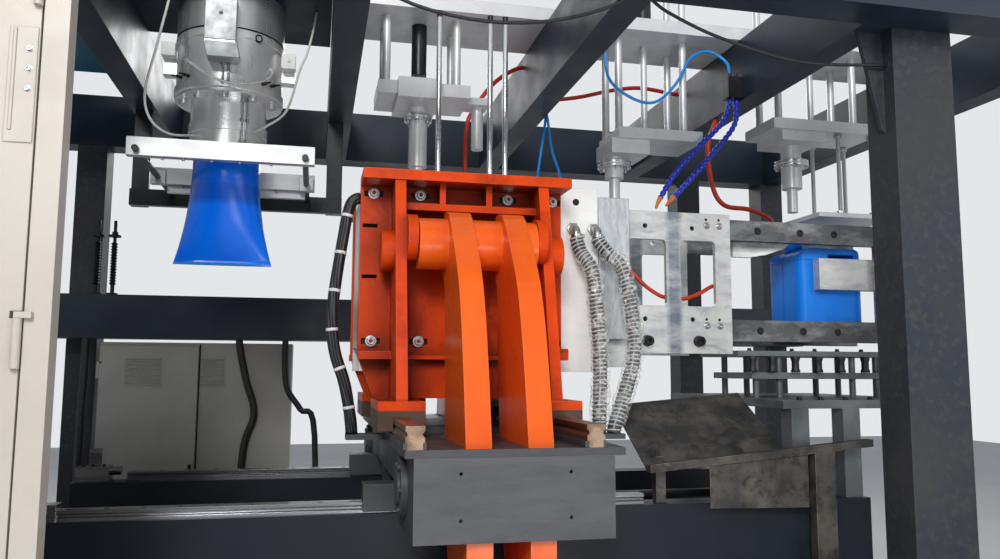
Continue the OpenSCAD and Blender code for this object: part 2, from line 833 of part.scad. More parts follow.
module extruder() {
  z = beam_top + 475;
  color("#9a9ea3") {
    bar_x(-1850, head_x - 130, 0, z, 180);
    for (x = [-1750, -1550, -1350])
      bar_x(x, x + 130, 0, z, 230);
    blk(-1480, -1420, -60, 60, beam_top + plate_h, z - 80);
  }
  color("#d9dcdf") {
    blk(-1700, -1580, -60, 60, z + 85, z + 175);
    translate([-1640, 0, z + 175])
      cylinder(h = 280, d1 = 120, d2 = 460);
    bar_z(z + 455, z + 645, -1640, 0, 460);
  }
}

module extruder_gearbox() {
  z = beam_top + 475;
  color("#2f6f8f") {
    blk(-2300, -1850, -260, 260, beam_top + 160, beam_top + 700);
    bar_y(260, 860, -2075, z, 340);
    bar_y(300, 800, -2075, z, 370);
  }
  color("#33373f") {
    blk(-2540, -1.5 * beam_pitch - beam_w / 2 - 5, -700, 1000, beam_top, beam_top + 30);
    blk(-2280, -1870, -220, 220, beam_top + 30, beam_top + 160);
  }
}

// Sealing and cutting device under the head

module sealing_guides() {
  color("#2c2f33") {
    for (x = [-1285, -635])
      bar_y(-300, 600, x, 2362, 26);
    blk(-1480, -460, 580, 620, 2300, 2380);
    for (x = [-1480, -540])
      blk(x, x + 80, 620, 650, 2300, beam_z);
  }
}

module sealing_bar(y0, y1) {
  color("#d9dcdf")
    difference() {
      blk(-1322, -597, y0, y1, 2338, 2413);
      for (x = [-1285, -635])
        bar_y(y0 - 5, y1 + 5, x, 2362, 26 + 2 * run_fit);
    }
}

module sealing_bar_front() {
  sealing_bar(-275, -235);
}
module sealing_bar_rear() {
  sealing_bar(240, 280);
  color("#d9dcdf")
    blk(-1255, -640, 275, 300, 2305, 2345);
}

// Product side

module chute_table() {
  color("#4a4d50") {
    xz_plate(-650, 50, [[700, 1113], [1680, 1198], [1680, 1227], [700, 1143]]);
    hull() {
      xz_plate(-602, 4, [[700, 1125], [1300, 1177], [1300, 1183], [700, 1131]]);
      xz_plate(-234, 4, [[700, 1350], [1300, 1402], [1300, 1408], [700, 1356]]);
    }
    for (x = [760, 1220])
      hull() {
        blk(x, x + 40, -560, -520, bed_z, bed_z + 10);
        xz_plate(-560, 40, [[x, 1160], [x + 40, 1160], [x + 40, 1165], [x, 1165]]);
      }
    xz_plate(-640, 3, [[952, 970], [1383, 962], [1383, 1180], [952, 1142]]);
    blk(1410, 1500, -650, -600, 0, 1180);
  }
}

module deflash_unit() {
  color("#7d8288") {
    blk(1330, 2180, -190, 190, 1575, 1600);
    blk(1400, 2180, -190, 190, 1470, 1500);
    blk(1330, 2180, -560, 560, 1350, 1385);
    for (x = [1440, 1560, 1950, 2080], y = [-150, 150])
      bar_z(1385, 1575, x, y, 30);
    for (x = [1400, 1640], y = [-530, 530])
      blk(x - 40, x + 40, y - 40, y + 40, bed_z, 1350);
  }
}

// Guards and cabinets

hinge_z = [500, 1500, 2400];
hinge_x = -1272;
hinge_y = -half_w + 42;

module guard_post() {
  color("#dcd8d2") {
    blk(-1260, -1200, -half_w + 50, -half_w + 110, base_h, beam_z + 60);
    blk(-half_l, -half_l + 50, -half_w + 50, -half_w + 110, base_h, beam_z + 60);
    blk(-1260, -1200, -half_w + 110, front_beam_y, beam_z + 20, beam_z + 60);
    blk(-half_l, -half_l + 50, -half_w + 110, front_beam_y, beam_z + 20, beam_z + 60);
    for (z = hinge_z) {
      bar_z(z, z + 130, hinge_x, hinge_y, 10);
      blk(hinge_x - 7, -1240, hinge_y - 7, -half_w + 50, z + 120.3, z + 136);
    }
  }
}

module guard_door() {
  color("#dcd8d2")
    difference() {
      union() {
        blk(-half_l + 55, -1265, -half_w + 50, -half_w + 90, 220, 2700);
        for (z = hinge_z)
          bar_z(z, z + 120, hinge_x, hinge_y, 22);
      }
      for (z = hinge_z) {
        bar_z(z - 5, z + 125, hinge_x, hinge_y, 10 + 2 * run_fit);
        blk(hinge_x - 20, -1260, -half_w + 49, -half_w + 91, z + 120, z + 138);
      }
    }
}

cab_hinge_z = [300, 880, 1450];
cab_hinge_x = -1729;
cab_hinge_y = 1239;

module electric_cabinet() {
  color("#c9c6bd") {
    blk(-1723, -1205, 1250, half_w, base_h, 1650);
    blk(-1200, -700, 1250, half_w, base_h, 1650);
    for (z = cab_hinge_z) {
      bar_z(z, z + 90, cab_hinge_x, cab_hinge_y, 8);
      blk(cab_hinge_x - 7, cab_hinge_x + 8, cab_hinge_y - 7, 1260, z + 80.3, z + 92);
    }
  }
}

module cabinet_door() {
  color("#c9c6bd")
    difference() {
      union() {
        blk(-1720, -1208, 1228, 1249.7, base_h + 20, 1630);
        for (z = cab_hinge_z)
          bar_z(z, z + 80, cab_hinge_x, cab_hinge_y, 20);
      }
      for (z = cab_hinge_z) {
        bar_z(z - 5, z + 95, cab_hinge_x, cab_hinge_y, 8 + 2 * run_fit);
        blk(cab_hinge_x - 15, -1708, 1227, 1251, z + 80, z + 94);
      }
    }
}

// Hose fittings and valves

module hose_elbows() {
  color("#c98a3a")
    for (x = [505, 600]) {
      bar_y(-368, -plate_back, x, 2115, 44);
      bar_z(2070, 2115, x, -343, 40);
    }
}

module coolant_valves() {
  color("#202226") {
    blk(1305, 1.5 * beam_pitch - beam_w / 2, -215, -145, 2800, 2900);
    for (x = [1330, 1362])
      bar_z(2900, 2925, x, -180, 20);
  }
}

// Cords: plain tubes through the points of their routes, which say the
// diameter, the direction at the start and at the end, and then the points
function unit(v) = v / norm(v);
function side_a(t) = unit(cross(t, abs(t[1]) > 0.9 ? [1, 0, 0] : [0, 1, 0]));
module tube(route) {
  d = route[0];
  p = route[3];
  n = 8;
  m = len(p) - 1;
  pts = [for (i = [0:m])
    let (
      t = unit(i == 0 ? route[1] : i == m ? route[2] : p[i + 1] - p[i - 1]),
      a = side_a(t),
      b = cross(t, a))
    for (k = [0:n - 1]) p[i] + d / 2 * (cos(360 * k / n) * a + sin(360 * k / n) * b)];
  polyhedron(
    points = pts,
    faces = concat(
      [[for (k = [0:n - 1]) k]],
      [for (i = [0:m - 1], k = [0:n - 1])
        [i * n + k, (i + 1) * n + k, (i + 1) * n + (k + 1) % n, i * n + (k + 1) % n]],
      [[for (k = [n - 1:-1:0]) m * n + k]]));
}

module spiral_hoses() {
  color("#c9ccd0")
    for (route = film_hoses)
      tube(route);
}

module coolant_hoses() {
  color("#1a2fa8")
    for (route = segment_hoses)
      tube(route);
}

module overhead_lines() {
  color("#e6e8ea")
    for (route = head_leads)
      tube(route);
  color("#1f7fe0")
    for (route = air_lines)
      tube(route);
  color("#d8401c")
    for (route = water_lines)
      tube(route);
  color("#15171a")
    for (route = beam_cables)
      tube(route);
}

module rear_hoses() {
  color("#17181a")
    for (route = oil_hoses)
      tube(route);
}

module cable_bundle() {
  color("#17181a")
    tube(platen_bundle);
}

base_side_members();
base_cross_members();
base_inner_members();
columns();
top_cross_beams();
top_side_beams();
rear_mid_beam();
bed_beams();
bed_supports();
shuttle_rails();
station_plates();
station_drives();
head_support();
head_upper_shell();
head_lower_shell();
die_body();
head_fittings();
parison();
extruder();
extruder_gearbox();
sealing_guides();
sealing_bar_front();
sealing_bar_rear();
carriage_top();
carriage_sides();
carriage_ends();
clamp_rails();
carriage_runners();
pivot_shafts();
shuttle_cylinder();
shuttle_rod();
front_platen();
front_runners();
front_mould();
front_mask();
rear_platen();
rear_runners();
rear_mould();
rear_mask();
front_rocker();
rear_rocker();
clamp_cylinder();
clamp_rod();
crosshead_1();
crosshead_2();
crosshead_3();
jerrycan();
chute_table();
deflash_unit();
guard_post();
guard_door();
electric_cabinet();
cabinet_door();
hose_elbows();
coolant_valves();
spiral_hoses();
coolant_hoses();
overhead_lines();
rear_hoses();
cable_bundle();
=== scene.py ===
import math
import bpy
import bmesh
from mathutils import Matrix, Vector, noise


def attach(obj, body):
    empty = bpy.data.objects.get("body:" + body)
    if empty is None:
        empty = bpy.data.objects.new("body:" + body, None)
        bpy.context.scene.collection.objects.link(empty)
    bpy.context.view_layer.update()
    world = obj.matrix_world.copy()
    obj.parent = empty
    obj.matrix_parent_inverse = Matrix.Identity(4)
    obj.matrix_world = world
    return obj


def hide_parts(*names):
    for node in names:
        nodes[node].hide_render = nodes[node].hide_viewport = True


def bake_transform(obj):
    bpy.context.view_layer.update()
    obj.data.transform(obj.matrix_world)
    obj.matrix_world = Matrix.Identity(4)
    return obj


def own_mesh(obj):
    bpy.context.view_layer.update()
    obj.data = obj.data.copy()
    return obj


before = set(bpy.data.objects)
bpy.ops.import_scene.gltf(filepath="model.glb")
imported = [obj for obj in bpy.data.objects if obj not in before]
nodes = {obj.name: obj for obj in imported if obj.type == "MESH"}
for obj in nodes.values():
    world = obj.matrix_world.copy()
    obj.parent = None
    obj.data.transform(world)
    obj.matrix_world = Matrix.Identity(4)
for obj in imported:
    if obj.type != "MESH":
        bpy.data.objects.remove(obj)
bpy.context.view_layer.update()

# The camera stands in the aisle in front of the machine, at eye height,
# turned a little to the right and up, with a wide lens.
eye = (-0.58, -3.7, 1.5)
yaw, pitch, roll = (math.radians(a) for a in (12.6, 6.3, 0.27))
ahead = Vector((math.sin(yaw) * math.cos(pitch), math.cos(yaw) * math.cos(pitch), math.sin(pitch)))
across = Vector((math.cos(yaw), -math.sin(yaw), 0))
above = across.cross(ahead)
level = across * math.cos(roll) + above * math.sin(roll)
upright = above * math.cos(roll) - across * math.sin(roll)
lens = bpy.data.cameras.new("aisle_camera")
lens.lens, lens.sensor_width, lens.clip_end = 29.88, 36, 100
camera = bpy.data.objects.new("aisle_camera", lens)
bpy.context.scene.collection.objects.link(camera)
camera.matrix_world = Matrix.Translation(eye) @ Matrix((level, upright, -ahead)).transposed().to_4x4()
bpy.context.scene.camera = camera
bpy.context.scene.view_settings.view_transform = "Standard"


# Hoses and cables: glass fibre sleeved wire, polyurethane air tube, silicone
# water line and rubber cable. Each bends smoothly from one fitting to the next
# through the points where it is tied or rests.
def linear(hexcode):
    c = [int(hexcode[i:i + 2], 16) / 255 for i in (1, 3, 5)]
    return [v / 12.92 if v <= 0.04045 else ((v + 0.055) / 1.055) ** 2.4 for v in c] + [1]


def add(tree, kind, inputs=None, **settings):
    """One node: an input takes another node's output, a hex colour or a plain value."""
    node = tree.nodes.new(kind)
    for key, value in settings.items():
        setattr(node, key, value)
    for key, value in (inputs or {}).items():
        if isinstance(value, bpy.types.NodeSocket):
            tree.links.new(value, node.inputs[key])
        else:
            node.inputs[key].default_value = linear(value) if isinstance(value, str) else value
    return node


# Pattern sizes are millimetres on the real surface. The real grain is finer
# than the view can show, so it is drawn coarser, at one millimetre or more.
def finish(name, base, blotch, blotch_mm=120, amount=0.5, rough=(0.35, 0.55), metallic=0.0, grain_mm=3,
           bump=0.15, stretch=(1, 1, 1), edge_mm=3, worn=None, specular=0.5, stain=None, stain_mm=60,
           stain_from=0.6, speck=None, speck_mm=5, painted_hollow_shade=None):
    """A real surface: base colour, slow blotches, stains, specks, fine grain in the relief, rubbed edges, painted
    shade in hollows.
    """
    m = bpy.data.materials.new(name)
    m.use_nodes = True
    t = m.node_tree
    shader = t.nodes["Principled BSDF"]
    place = add(t, "ShaderNodeTexCoord").outputs["Object"]
    drawn = add(t, "ShaderNodeMapping", {"Vector": place, "Scale": stretch}).outputs[0]
    slow = add(t, "ShaderNodeTexNoise", {"Vector": drawn, "Scale": 1000 / blotch_mm, "Detail": 6,
                                         "Roughness": 0.62}).outputs[0]
    fine = add(t, "ShaderNodeTexNoise", {"Vector": drawn, "Scale": 1000 / grain_mm, "Detail": 3}).outputs[0]
    cloud = add(t, "ShaderNodeMapRange", {"Value": slow, "From Min": 0.42, "From Max": 0.68,
                                          "To Max": amount}).outputs[0]
    colour = add(t, "ShaderNodeMix", {"Factor": cloud, 6: base, 7: blotch}, data_type="RGBA").outputs[2]
    if stain:
        spots = add(t, "ShaderNodeTexNoise", {"Vector": drawn, "Scale": 1000 / stain_mm, "Detail": 8,
                                              "Roughness": 0.7, "Distortion": 0.6}).outputs[0]
        wet = add(t, "ShaderNodeMapRange", {"Value": spots, "From Min": stain_from - 0.08,
                                            "From Max": stain_from + 0.06, "To Max": 0.85}).outputs[0]
        colour = add(t, "ShaderNodeMix", {"Factor": wet, 6: colour, 7: stain}, data_type="RGBA").outputs[2]
    if speck:
        dots = add(t, "ShaderNodeTexNoise", {"Vector": place, "Scale": 1000 / speck_mm, "Detail": 2}).outputs[0]
        dust = add(t, "ShaderNodeMapRange", {"Value": dots, "From Min": 0.5, "From Max": 0.7,
                                             "To Max": 0.8}).outputs[0]
        colour = add(t, "ShaderNodeMix", {"Factor": dust, 6: colour, 7: speck}, data_type="RGBA").outputs[2]
    # Painted shade: the colour is darkened where the surface's own hollows and corners close in.
    if painted_hollow_shade:
        hollow = add(t, "ShaderNodeAmbientOcclusion", {"Distance": 0.35}, samples=4, only_local=True)
        hollow_shade_amount = add(t, "ShaderNodeMapRange", {"Value": hollow.outputs["AO"], "From Min": 0.85, "From Max": 0.3,
                                             "To Max": 0.85}).outputs[0]
        colour = add(t, "ShaderNodeMix", {"Factor": hollow_shade_amount, 6: colour, 7: painted_hollow_shade}, data_type="RGBA").outputs[2]
    soft = add(t, "ShaderNodeBevel", {"Radius": edge_mm / 1000}, samples=4)
    if worn:
        hard = add(t, "ShaderNodeNewGeometry").outputs["Normal"]
        same = add(t, "ShaderNodeVectorMath", {0: soft.outputs[0], 1: hard}, operation="DOT_PRODUCT")
        rim = add(t, "ShaderNodeMapRange", {"Value": same.outputs["Value"], "From Min": 0.985,
                                            "From Max": 0.86}).outputs[0]
        patchy = add(t, "ShaderNodeMapRange", {"Value": slow, "From Min": 0.4, "From Max": 0.6}).outputs[0]
        chip = add(t, "ShaderNodeMath", {0: rim, 1: patchy}, operation="MULTIPLY").outputs[0]
        colour = add(t, "ShaderNodeMix", {"Factor": chip, 6: colour, 7: worn}, data_type="RGBA").outputs[2]
    dull = add(t, "ShaderNodeMapRange", {"Value": slow, "From Min": 0.3, "From Max": 0.7, "To Min": rough[0],
                                         "To Max": rough[1]}).outputs[0]
    t.links.new(colour, shader.inputs["Base Color"])
    t.links.new(dull, shader.inputs["Roughness"])
    shader.inputs["Metallic"].default_value = metallic
    shader.inputs["Specular IOR Level"].default_value = specular
    relief = add(t, "ShaderNodeBump", {"Height": fine, "Normal": soft.outputs[0], "Strength": bump,
                                       "Distance": 0.0008})
    t.links.new(relief.outputs[0], shader.inputs["Normal"])
    return m


def paint(material, *names):
    """The frame's own nodes, given one finish."""
    for n in names:
        nodes[n].data.materials.clear()
        nodes[n].data.materials.append(material)


def route(out, into, points, steps=5):
    """A smooth line through the points, leaving and arriving straight; metres."""
    p = [Vector(v) / 1000 for v in points]
    d0, d1 = Vector(out).normalized(), Vector(into).normalized()
    p = [p[1] - 1.2 * d0 * (p[1] - p[0]).length] + p + [p[-2] + 1.2 * d1 * (p[-1] - p[-2]).length]
    line = []
    for i in range(1, len(p) - 2):
        a, b, c, d = p[i - 1:i + 3]
        for k in range(steps):
            s = k / steps
            line.append(0.5 * (2 * b + (c - a) * s + (2 * a - 5 * b + 4 * c - d) * s ** 2
                               + (3 * b - a - 3 * c + d) * s ** 3))
    return line + [p[-2]]


def length_of(line):
    return sum((b - a).length for a, b in zip(line, line[1:]))


def hose(name, mm, out, into, points, material, body, node, steps=5):
    """One round hose or cable of mm across, which takes the place of its node's part."""
    line = route(out, into, points, steps)
    data = bpy.data.curves.new(name, "CURVE")
    data.dimensions, data.use_fill_caps = "3D", True
    data.bevel_depth, data.bevel_resolution = mm / 2000, 4
    spline = data.splines.new("POLY")
    spline.points.add(len(line) - 1)
    for q, v in zip(spline.points, line):
        q.co = (*v, 1)
    piece = bpy.data.objects.new(name, data)
    bpy.context.scene.collection.objects.link(piece)
    data.materials.append(material)
    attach(piece, body)
    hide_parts(node)


down, up, right, left = (0, 0, -1), (0, 0, 1), (1, 0, 0), (-1, 0, 0)
# The woven sleeve is dull and off-white, the drawn air tube bright and glossy,
# the silicone satin, and the rubber dull with little contrast.
white_wire = finish("glass fibre sleeved wire", "#E4E4DF", "#B4B4AC", blotch_mm=30, rough=(0.5, 0.7), grain_mm=1)
blue_tube = finish("blue polyurethane air tube", "#189AF0", "#0F78D8", blotch_mm=60, rough=(0.2, 0.35), grain_mm=4)
red_line = finish("red silicone water line", "#CF3314", "#8E1F0C", blotch_mm=40, rough=(0.3, 0.45), grain_mm=3)
black_cable = finish("black rubber cable", "#141517", "#26282B", blotch_mm=50, rough=(0.4, 0.6), grain_mm=2)
for i, (mm, out, into, points, material) in enumerate((
    (10, down, (0.64, 0.77, 0), [[-1187, -240, 3090], [-1213, -330, 2790], [-1245, -360, 2575],
                                 [-1226, -340, 2470], [-1165, -260, 2435], [-1070.5, -121.7, 2470]], white_wire),
    (10, (-0.6, -0.8, 0), (-0.79, -0.61, 0),
     [[-1101.5, -177.3, 2760], [-1110, -290, 2735], [-1010, -310, 2665], [-900, -300, 2650],
      [-800, -230, 2700], [-795.3, -135, 2780]], white_wire),
    (10, down, (-0.67, 0.74, 0), [[-610, -50, 3090], [-640, -80, 2900], [-672, -100, 2800],
                                  [-720, -150, 2600], [-800, -165, 2520], [-859.8, -121.2, 2500]], white_wire),
    (14, down, down, [[720, -135, 3090], [730, -135, 2880], [840, -135, 2785], [965, -135, 2770],
                      [1075, -135, 2870], [1150, -135, 3000], [1245, -135, 3045], [1325, -160, 2990],
                      [1330, -180, 2925]], blue_tube),
    (14, right, down, [[540, 320, 2900], [556, 320, 2885], [552, 320, 2760], [500, 290, 2450],
                       [490, 270, 2297.3]], blue_tube),
    (14, right, down, [[540, 300, 2830], [557, 300, 2812], [584, 300, 2630], [630, 300, 2475],
                       [600, 270, 2297.3]], blue_tube),
    (22, left, down, [[420, 270, 3040], [280, 270, 2955], [175, 270, 2810], [130, 270, 2680],
                      [130, 270, 2297.3]], red_line),
    (22, right, right, [[540, 500, 2950], [775, 500, 2985], [975, 500, 3040], [1155, 500, 3070],
                        [1380, 500, 3050]], red_line),
    (24, down, down, [[1400, 100, 2790], [1353, 100, 2650], [1370, 100, 2445], [1440, 110, 2345],
                      [1605, 150, 2337], [1760, 212, 2300], [1795, 220, 2200.3]], red_line),
    (12, down, up, [[-420, -1180, 2790], [-345, -1180, 2670], [-60, -1180, 2622], [235, -1180, 2668],
                    [440, -1180, 2790]], black_cable),
    (12, right, right, [[540, -1060, 2823], [620, -1060, 2775], [820, -1060, 2700], [1140, -1060, 2637],
                        [1502, -1060, 2655]], black_cable),
)):
    hose(f"overhead_line_{i + 1}", mm, out, into, points, material, "frame", "overhead_lines")
for i, (mm, points) in enumerate((
    (40, [[-1795, 1225, 1670], [-1795, 1225, 1450], [-1800, 1225, 1200], [-1800, 1225, 0]]),
    (40, [[-992, 1225, 1670], [-947, 1225, 1445], [-898, 1225, 1250], [-956, 1225, 975], [-956, 1225, 0]]),
    (34, [[-738, 1225, 1670], [-725, 1225, 1415], [-645, 1225, 1280], [-560, 1225, 1130], [-540, 1225, 0]]),
)):
    hose(f"rear_hose_{i + 1}", mm, down, down, points, black_cable, "frame", "rear_hoses", steps=6)


# The coolant hoses are chains of moulded ball-and-socket acetal segments,
# snapped together, with an orange nozzle pushed on the last one. Acetal looks
# waxy and even; each joint shows as a narrow waist.
def place_mesh(name, mesh, material, smooth=True, bevel_mm=0.0):
    """A finished mesh as one piece in the scene, with its edges bevelled where a width is given."""
    for f in mesh.faces:
        f.smooth = smooth
    data = bpy.data.meshes.new(name)
    mesh.to_mesh(data)
    mesh.free()
    data.materials.append(material)
    piece = bpy.data.objects.new(name, data)
    bpy.context.scene.collection.objects.link(piece)
    if bevel_mm:
        edge = piece.modifiers.new("edge", "BEVEL")
        edge.width, edge.segments, edge.limit_method = bevel_mm / 1000, 2, "ANGLE"
    return piece


def sweep(name, line, radius_at, material, sides=16):
    """A round mesh swept along a line; radius_at gives the radius for each metre run."""
    mesh, rings, run = bmesh.new(), [], 0
    for i, p in enumerate(line):
        if i:
            run += (p - line[i - 1]).length
        heading = (line[min(i + 1, len(line) - 1)] - line[max(i - 1, 0)]).normalized()
        square = Vector((0, 1, 0)) if abs(heading.y) < 0.9 else Vector((1, 0, 0))
        side = heading.cross(square).normalized()
        other = heading.cross(side)
        ring = []
        for k in range(sides):
            turn = math.tau * k / sides
            r = radius_at(run, turn)
            ring.append(mesh.verts.new(p + r * (math.cos(turn) * side + math.sin(turn) * other)))
        rings.append(ring)
    for a, b in zip(rings, rings[1:]):
        for k in range(sides):
            mesh.faces.new((a[k], b[k], b[(k + 1) % sides], a[(k + 1) % sides]))
    mesh.faces.new(rings[0])
    mesh.faces.new(rings[-1][::-1])
    bmesh.ops.recalc_face_normals(mesh, faces=mesh.faces)
    return place_mesh(name, mesh, material)


def even(line, step):
    """The same line with points at an even step, for rings that must be regular."""
    total, out, run, i = length_of(line), [line[0]], 0.0, 0
    count = round(total / step)
    for k in range(1, count):
        want = total * k / count
        while run + (line[i + 1] - line[i]).length < want:
            run += (line[i + 1] - line[i]).length
            i += 1
        out.append(line[i].lerp(line[i + 1], (want - run) / (line[i + 1] - line[i]).length))
    return out + [line[-1]]


segment_blue = finish("blue acetal segments", "#1730C4", "#0C1B84", blotch_mm=20, rough=(0.22, 0.36), grain_mm=2)
nozzle_orange = finish("orange acetal nozzle", "#E07A28", "#B9601E", blotch_mm=20, rough=(0.3, 0.4), grain_mm=2)
segment_pitch, waist, swell = 0.028, 0.0072, 0.0066
for i, (into, points) in enumerate((
    ((-0.4, 0, -1), [[1330, -180, 2800], [1290, -180, 2685], [1170, -180, 2560], [1045, -180, 2425],
                     [965, -180, 2300], [942, -180, 2250]]),
    ((-0.5, 0, -1), [[1362, -180, 2800], [1350, -180, 2675], [1250, -180, 2545], [1140, -180, 2420],
                     [1055, -180, 2330], [992, -180, 2263]]),
)):
    line = even(route(down, into, points), 0.004)
    snapped, tip = line[:-14], line[-16:]
    chain = sweep(f"coolant_hose_{i + 1}", snapped,
                  lambda s, a: waist + swell * abs(math.sin(math.pi * s / segment_pitch)) ** 0.55, segment_blue)
    nozzle = sweep(f"coolant_nozzle_{i + 1}", tip, lambda s, a: 0.0125 - 0.11 * s, nozzle_orange)
    for piece in (chain, nozzle):
        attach(piece, "frame")
        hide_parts("coolant_hoses")

# Two wire-reinforced hoses, loosely wrapped in clear packing film, feed the
# mould plate. They bend between clamp and carriage.
# The PVC wall looks smoky, its steel wire silver with brownish stains, and the
# film nearly clear with milky creases about forty millimetres apart.
wire_hose = finish("smoky hose wall", "#4A4D50", "#2B2D2F", blotch_mm=30, amount=0.9, rough=(0.2, 0.4), grain_mm=4)
coil_wire = finish("hose wire under clear PVC", "#C4C9CC", "#8F9497", blotch_mm=40, rough=(0.15, 0.3), grain_mm=3,
                   stain="#8C8373", stain_mm=60)
film = finish("clear packing film", "#F4F4EE", "#E0D8BC", blotch_mm=60, rough=(0.08, 0.22), grain_mm=14, bump=0.9)
tree = film.node_tree
creases = add(tree, "ShaderNodeTexNoise", {"Vector": tree.nodes["Texture Coordinate"].outputs["Object"],
                                           "Scale": 26, "Detail": 4, "Distortion": 1.8})
clear = add(tree, "ShaderNodeMapRange", {"Value": creases.outputs[0], "From Min": 0.46, "From Max": 0.66,
                                         "To Min": 0.04, "To Max": 0.5})
tree.links.new(clear.outputs[0], tree.nodes["Principled BSDF"].inputs["Alpha"])
hose_r, wire_r, coil_r, coil_pitch, coil_steps = 0.0275, 0.0034, 0.0282, 0.017, 14


def film_radius(s, a, seed):
    """Loose film round a hose: broad folds, and finer creases on them."""
    folds = noise.noise(Vector((math.cos(a) * 2.2 + seed, math.sin(a) * 2.2, s * 22)))
    lines = noise.noise(Vector((math.cos(a) * 7, math.sin(a) * 7, s * 90)))
    return 0.037 + 0.014 * folds + 0.004 * lines


for i, points in enumerate((
    [[505, -343, 2070], [520, -360, 2000], [555, -400, 1920], [568, -430, 1710], [566, -460, 1500],
     [545, -500, 1255]],
    [[600, -343, 2070], [640, -370, 2000], [690, -400, 1930], [722, -430, 1720], [715, -450, 1550],
     [650, -480, 1370], [606, -500, 1255]],
)):
    line = even(route(down, down, points), 0.0035)
    core = sweep(f"wire_hose_{i + 1}", line, lambda s, a: hose_r, wire_hose, 24)
    spiral = []
    for j in range(int(length_of(line) / coil_pitch) * coil_steps):
        k = min(j / coil_steps * coil_pitch / length_of(line) * (len(line) - 1), len(line) - 2)
        a, b = line[int(k)], line[int(k) + 1]
        heading = (b - a).normalized()
        side = heading.cross(Vector((0, 1, 0))).normalized()
        turn = math.tau * j / coil_steps
        spiral.append(a.lerp(b, k - int(k)) + coil_r * (math.cos(turn) * side
                                                        + math.sin(turn) * heading.cross(side)))
    coil = sweep(f"wire_coil_{i + 1}", spiral, lambda s, a: wire_r, coil_wire, 6)
    wrap = sweep(f"film_wrap_{i + 1}", even(line[22:-14], 0.008), lambda s, a: film_radius(s, a, i * 5), film, 36)
    for piece in (core, coil, wrap):
        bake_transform(piece)
        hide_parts("spiral_hoses")

# The cable bundle beside the front platen: eight rubber leads for valves and
# sensors, laid round each other and held by moulded nylon ties, dull white.
tie_white = finish("white nylon cable tie", "#E8E8E4", "#C9C9C4", blotch_mm=10, rough=(0.4, 0.5), grain_mm=2)
line = even(route(left, down, [[-410, -320, 2200], [-450, -322, 2170], [-475, -332, 2040], [-512, -360, 1740],
                               [-500, -370, 1580], [-456, -380, 1440], [-427, -385, 1255]]), 0.012)
strands = [sweep("cable_bundle_core", line, lambda s, a: 0.0192 + 0.0042 * abs(
    math.cos(4 * a + 9 * s + math.sin(14 * s))) ** 0.7, black_cable, 64)]
for k, j in enumerate(range(8, len(line) - 4, 13)):
    strands.append(sweep(f"cable_bundle_tie_{k + 1}", line[j:j + 2], lambda s, a: 0.0240, tie_white, 24))
for piece in strands:
    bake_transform(piece)
    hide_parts("cable_bundle")


# Frame: welded square tube and plate in dark blue-grey structure paint.
# Rolled on and satin, with dust in patches and rubbed corners.
def spot_on(axis, p, h):
    """A point of a flat outline at height h along its axis; p holds the other two coordinates."""
    return {"X": (h, p[0], p[1]), "Y": (p[0], h, p[1]), "Z": (p[0], p[1], h)}[axis]


class Shape:
    """Collects turned and extruded forms in millimetres into one mesh."""

    def __init__(self):
        self.mesh = bmesh.new()

    def block(self, x0, x1, y0, y1, z0, z1):
        v = [self.mesh.verts.new((x, y, z)) for x in (x0, x1) for y in (y0, y1) for z in (z0, z1)]
        for f in ((0, 1, 3, 2), (4, 6, 7, 5), (0, 4, 5, 1), (2, 3, 7, 6), (0, 2, 6, 4), (1, 5, 7, 3)):
            self.mesh.faces.new([v[i] for i in f])
        return self

    def turned(self, spot, axis, profile, sides=28):
        """A lathe form: profile holds (radius, distance along the axis)."""
        along = Vector(axis).normalized()
        square = Vector((0, 0, 1)) if abs(along.z) < 0.9 else Vector((1, 0, 0))
        side = along.cross(square).normalized()
        other = along.cross(side)
        round_about = [math.cos(math.tau * k / sides) * side + math.sin(math.tau * k / sides) * other
                       for k in range(sides)]
        rings = []
        for r, h in profile:
            centre = Vector(spot) + along * h
            rings.append([self.mesh.verts.new(centre + max(r, 0.05) * way) for way in round_about])
        self.bridge(rings)
        self.mesh.faces.new(rings[0][::-1])
        self.mesh.faces.new(rings[-1])
        return self

    def bridge(self, rings):
        """Faces between each ring of points and the next."""
        for a, b in zip(rings, rings[1:]):
            for k in range(len(a)):
                j = (k + 1) % len(a)
                self.mesh.faces.new((a[k], a[j], b[j], b[k]))

    def outline(self, points, axis, a, b):
        """A flat outline extruded along an axis from a to b."""
        low = [self.mesh.verts.new(spot_on(axis, p, a)) for p in points]
        high = [self.mesh.verts.new(spot_on(axis, p, b)) for p in points]
        self.mesh.faces.new(low)
        self.mesh.faces.new(high[::-1])
        for k in range(len(points)):
            j = (k + 1) % len(points)
            self.mesh.faces.new((low[k], high[k], high[j], low[j]))
        return self

    def done(self, name, material, body, bevel_mm=0.0, smooth=False, replaces=()):
        bmesh.ops.scale(self.mesh, vec=(0.001, 0.001, 0.001), verts=self.mesh.verts)
        bmesh.ops.recalc_face_normals(self.mesh, faces=self.mesh.faces)
        piece = place_mesh(name, self.mesh, material, smooth, bevel_mm)
        if smooth:
            piece.data.set_sharp_from_angle(angle=math.radians(35))
        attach(piece, body)
        if replaces:
            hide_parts(*replaces)
        return piece

    def screw(self, spot, axis, r, head):
        """A washer and a socket head with its round recess."""
        washer = [(r * 1.45, 0), (r * 1.45, head * 0.16), (r, head * 0.16)]
        cap = [(r, head * 0.9), (r * 0.92, head)]
        recess = [(r * 0.5, head), (r * 0.48, head * 0.45), (0, head * 0.45)]
        return self.turned(spot, axis, washer + cap + recess)


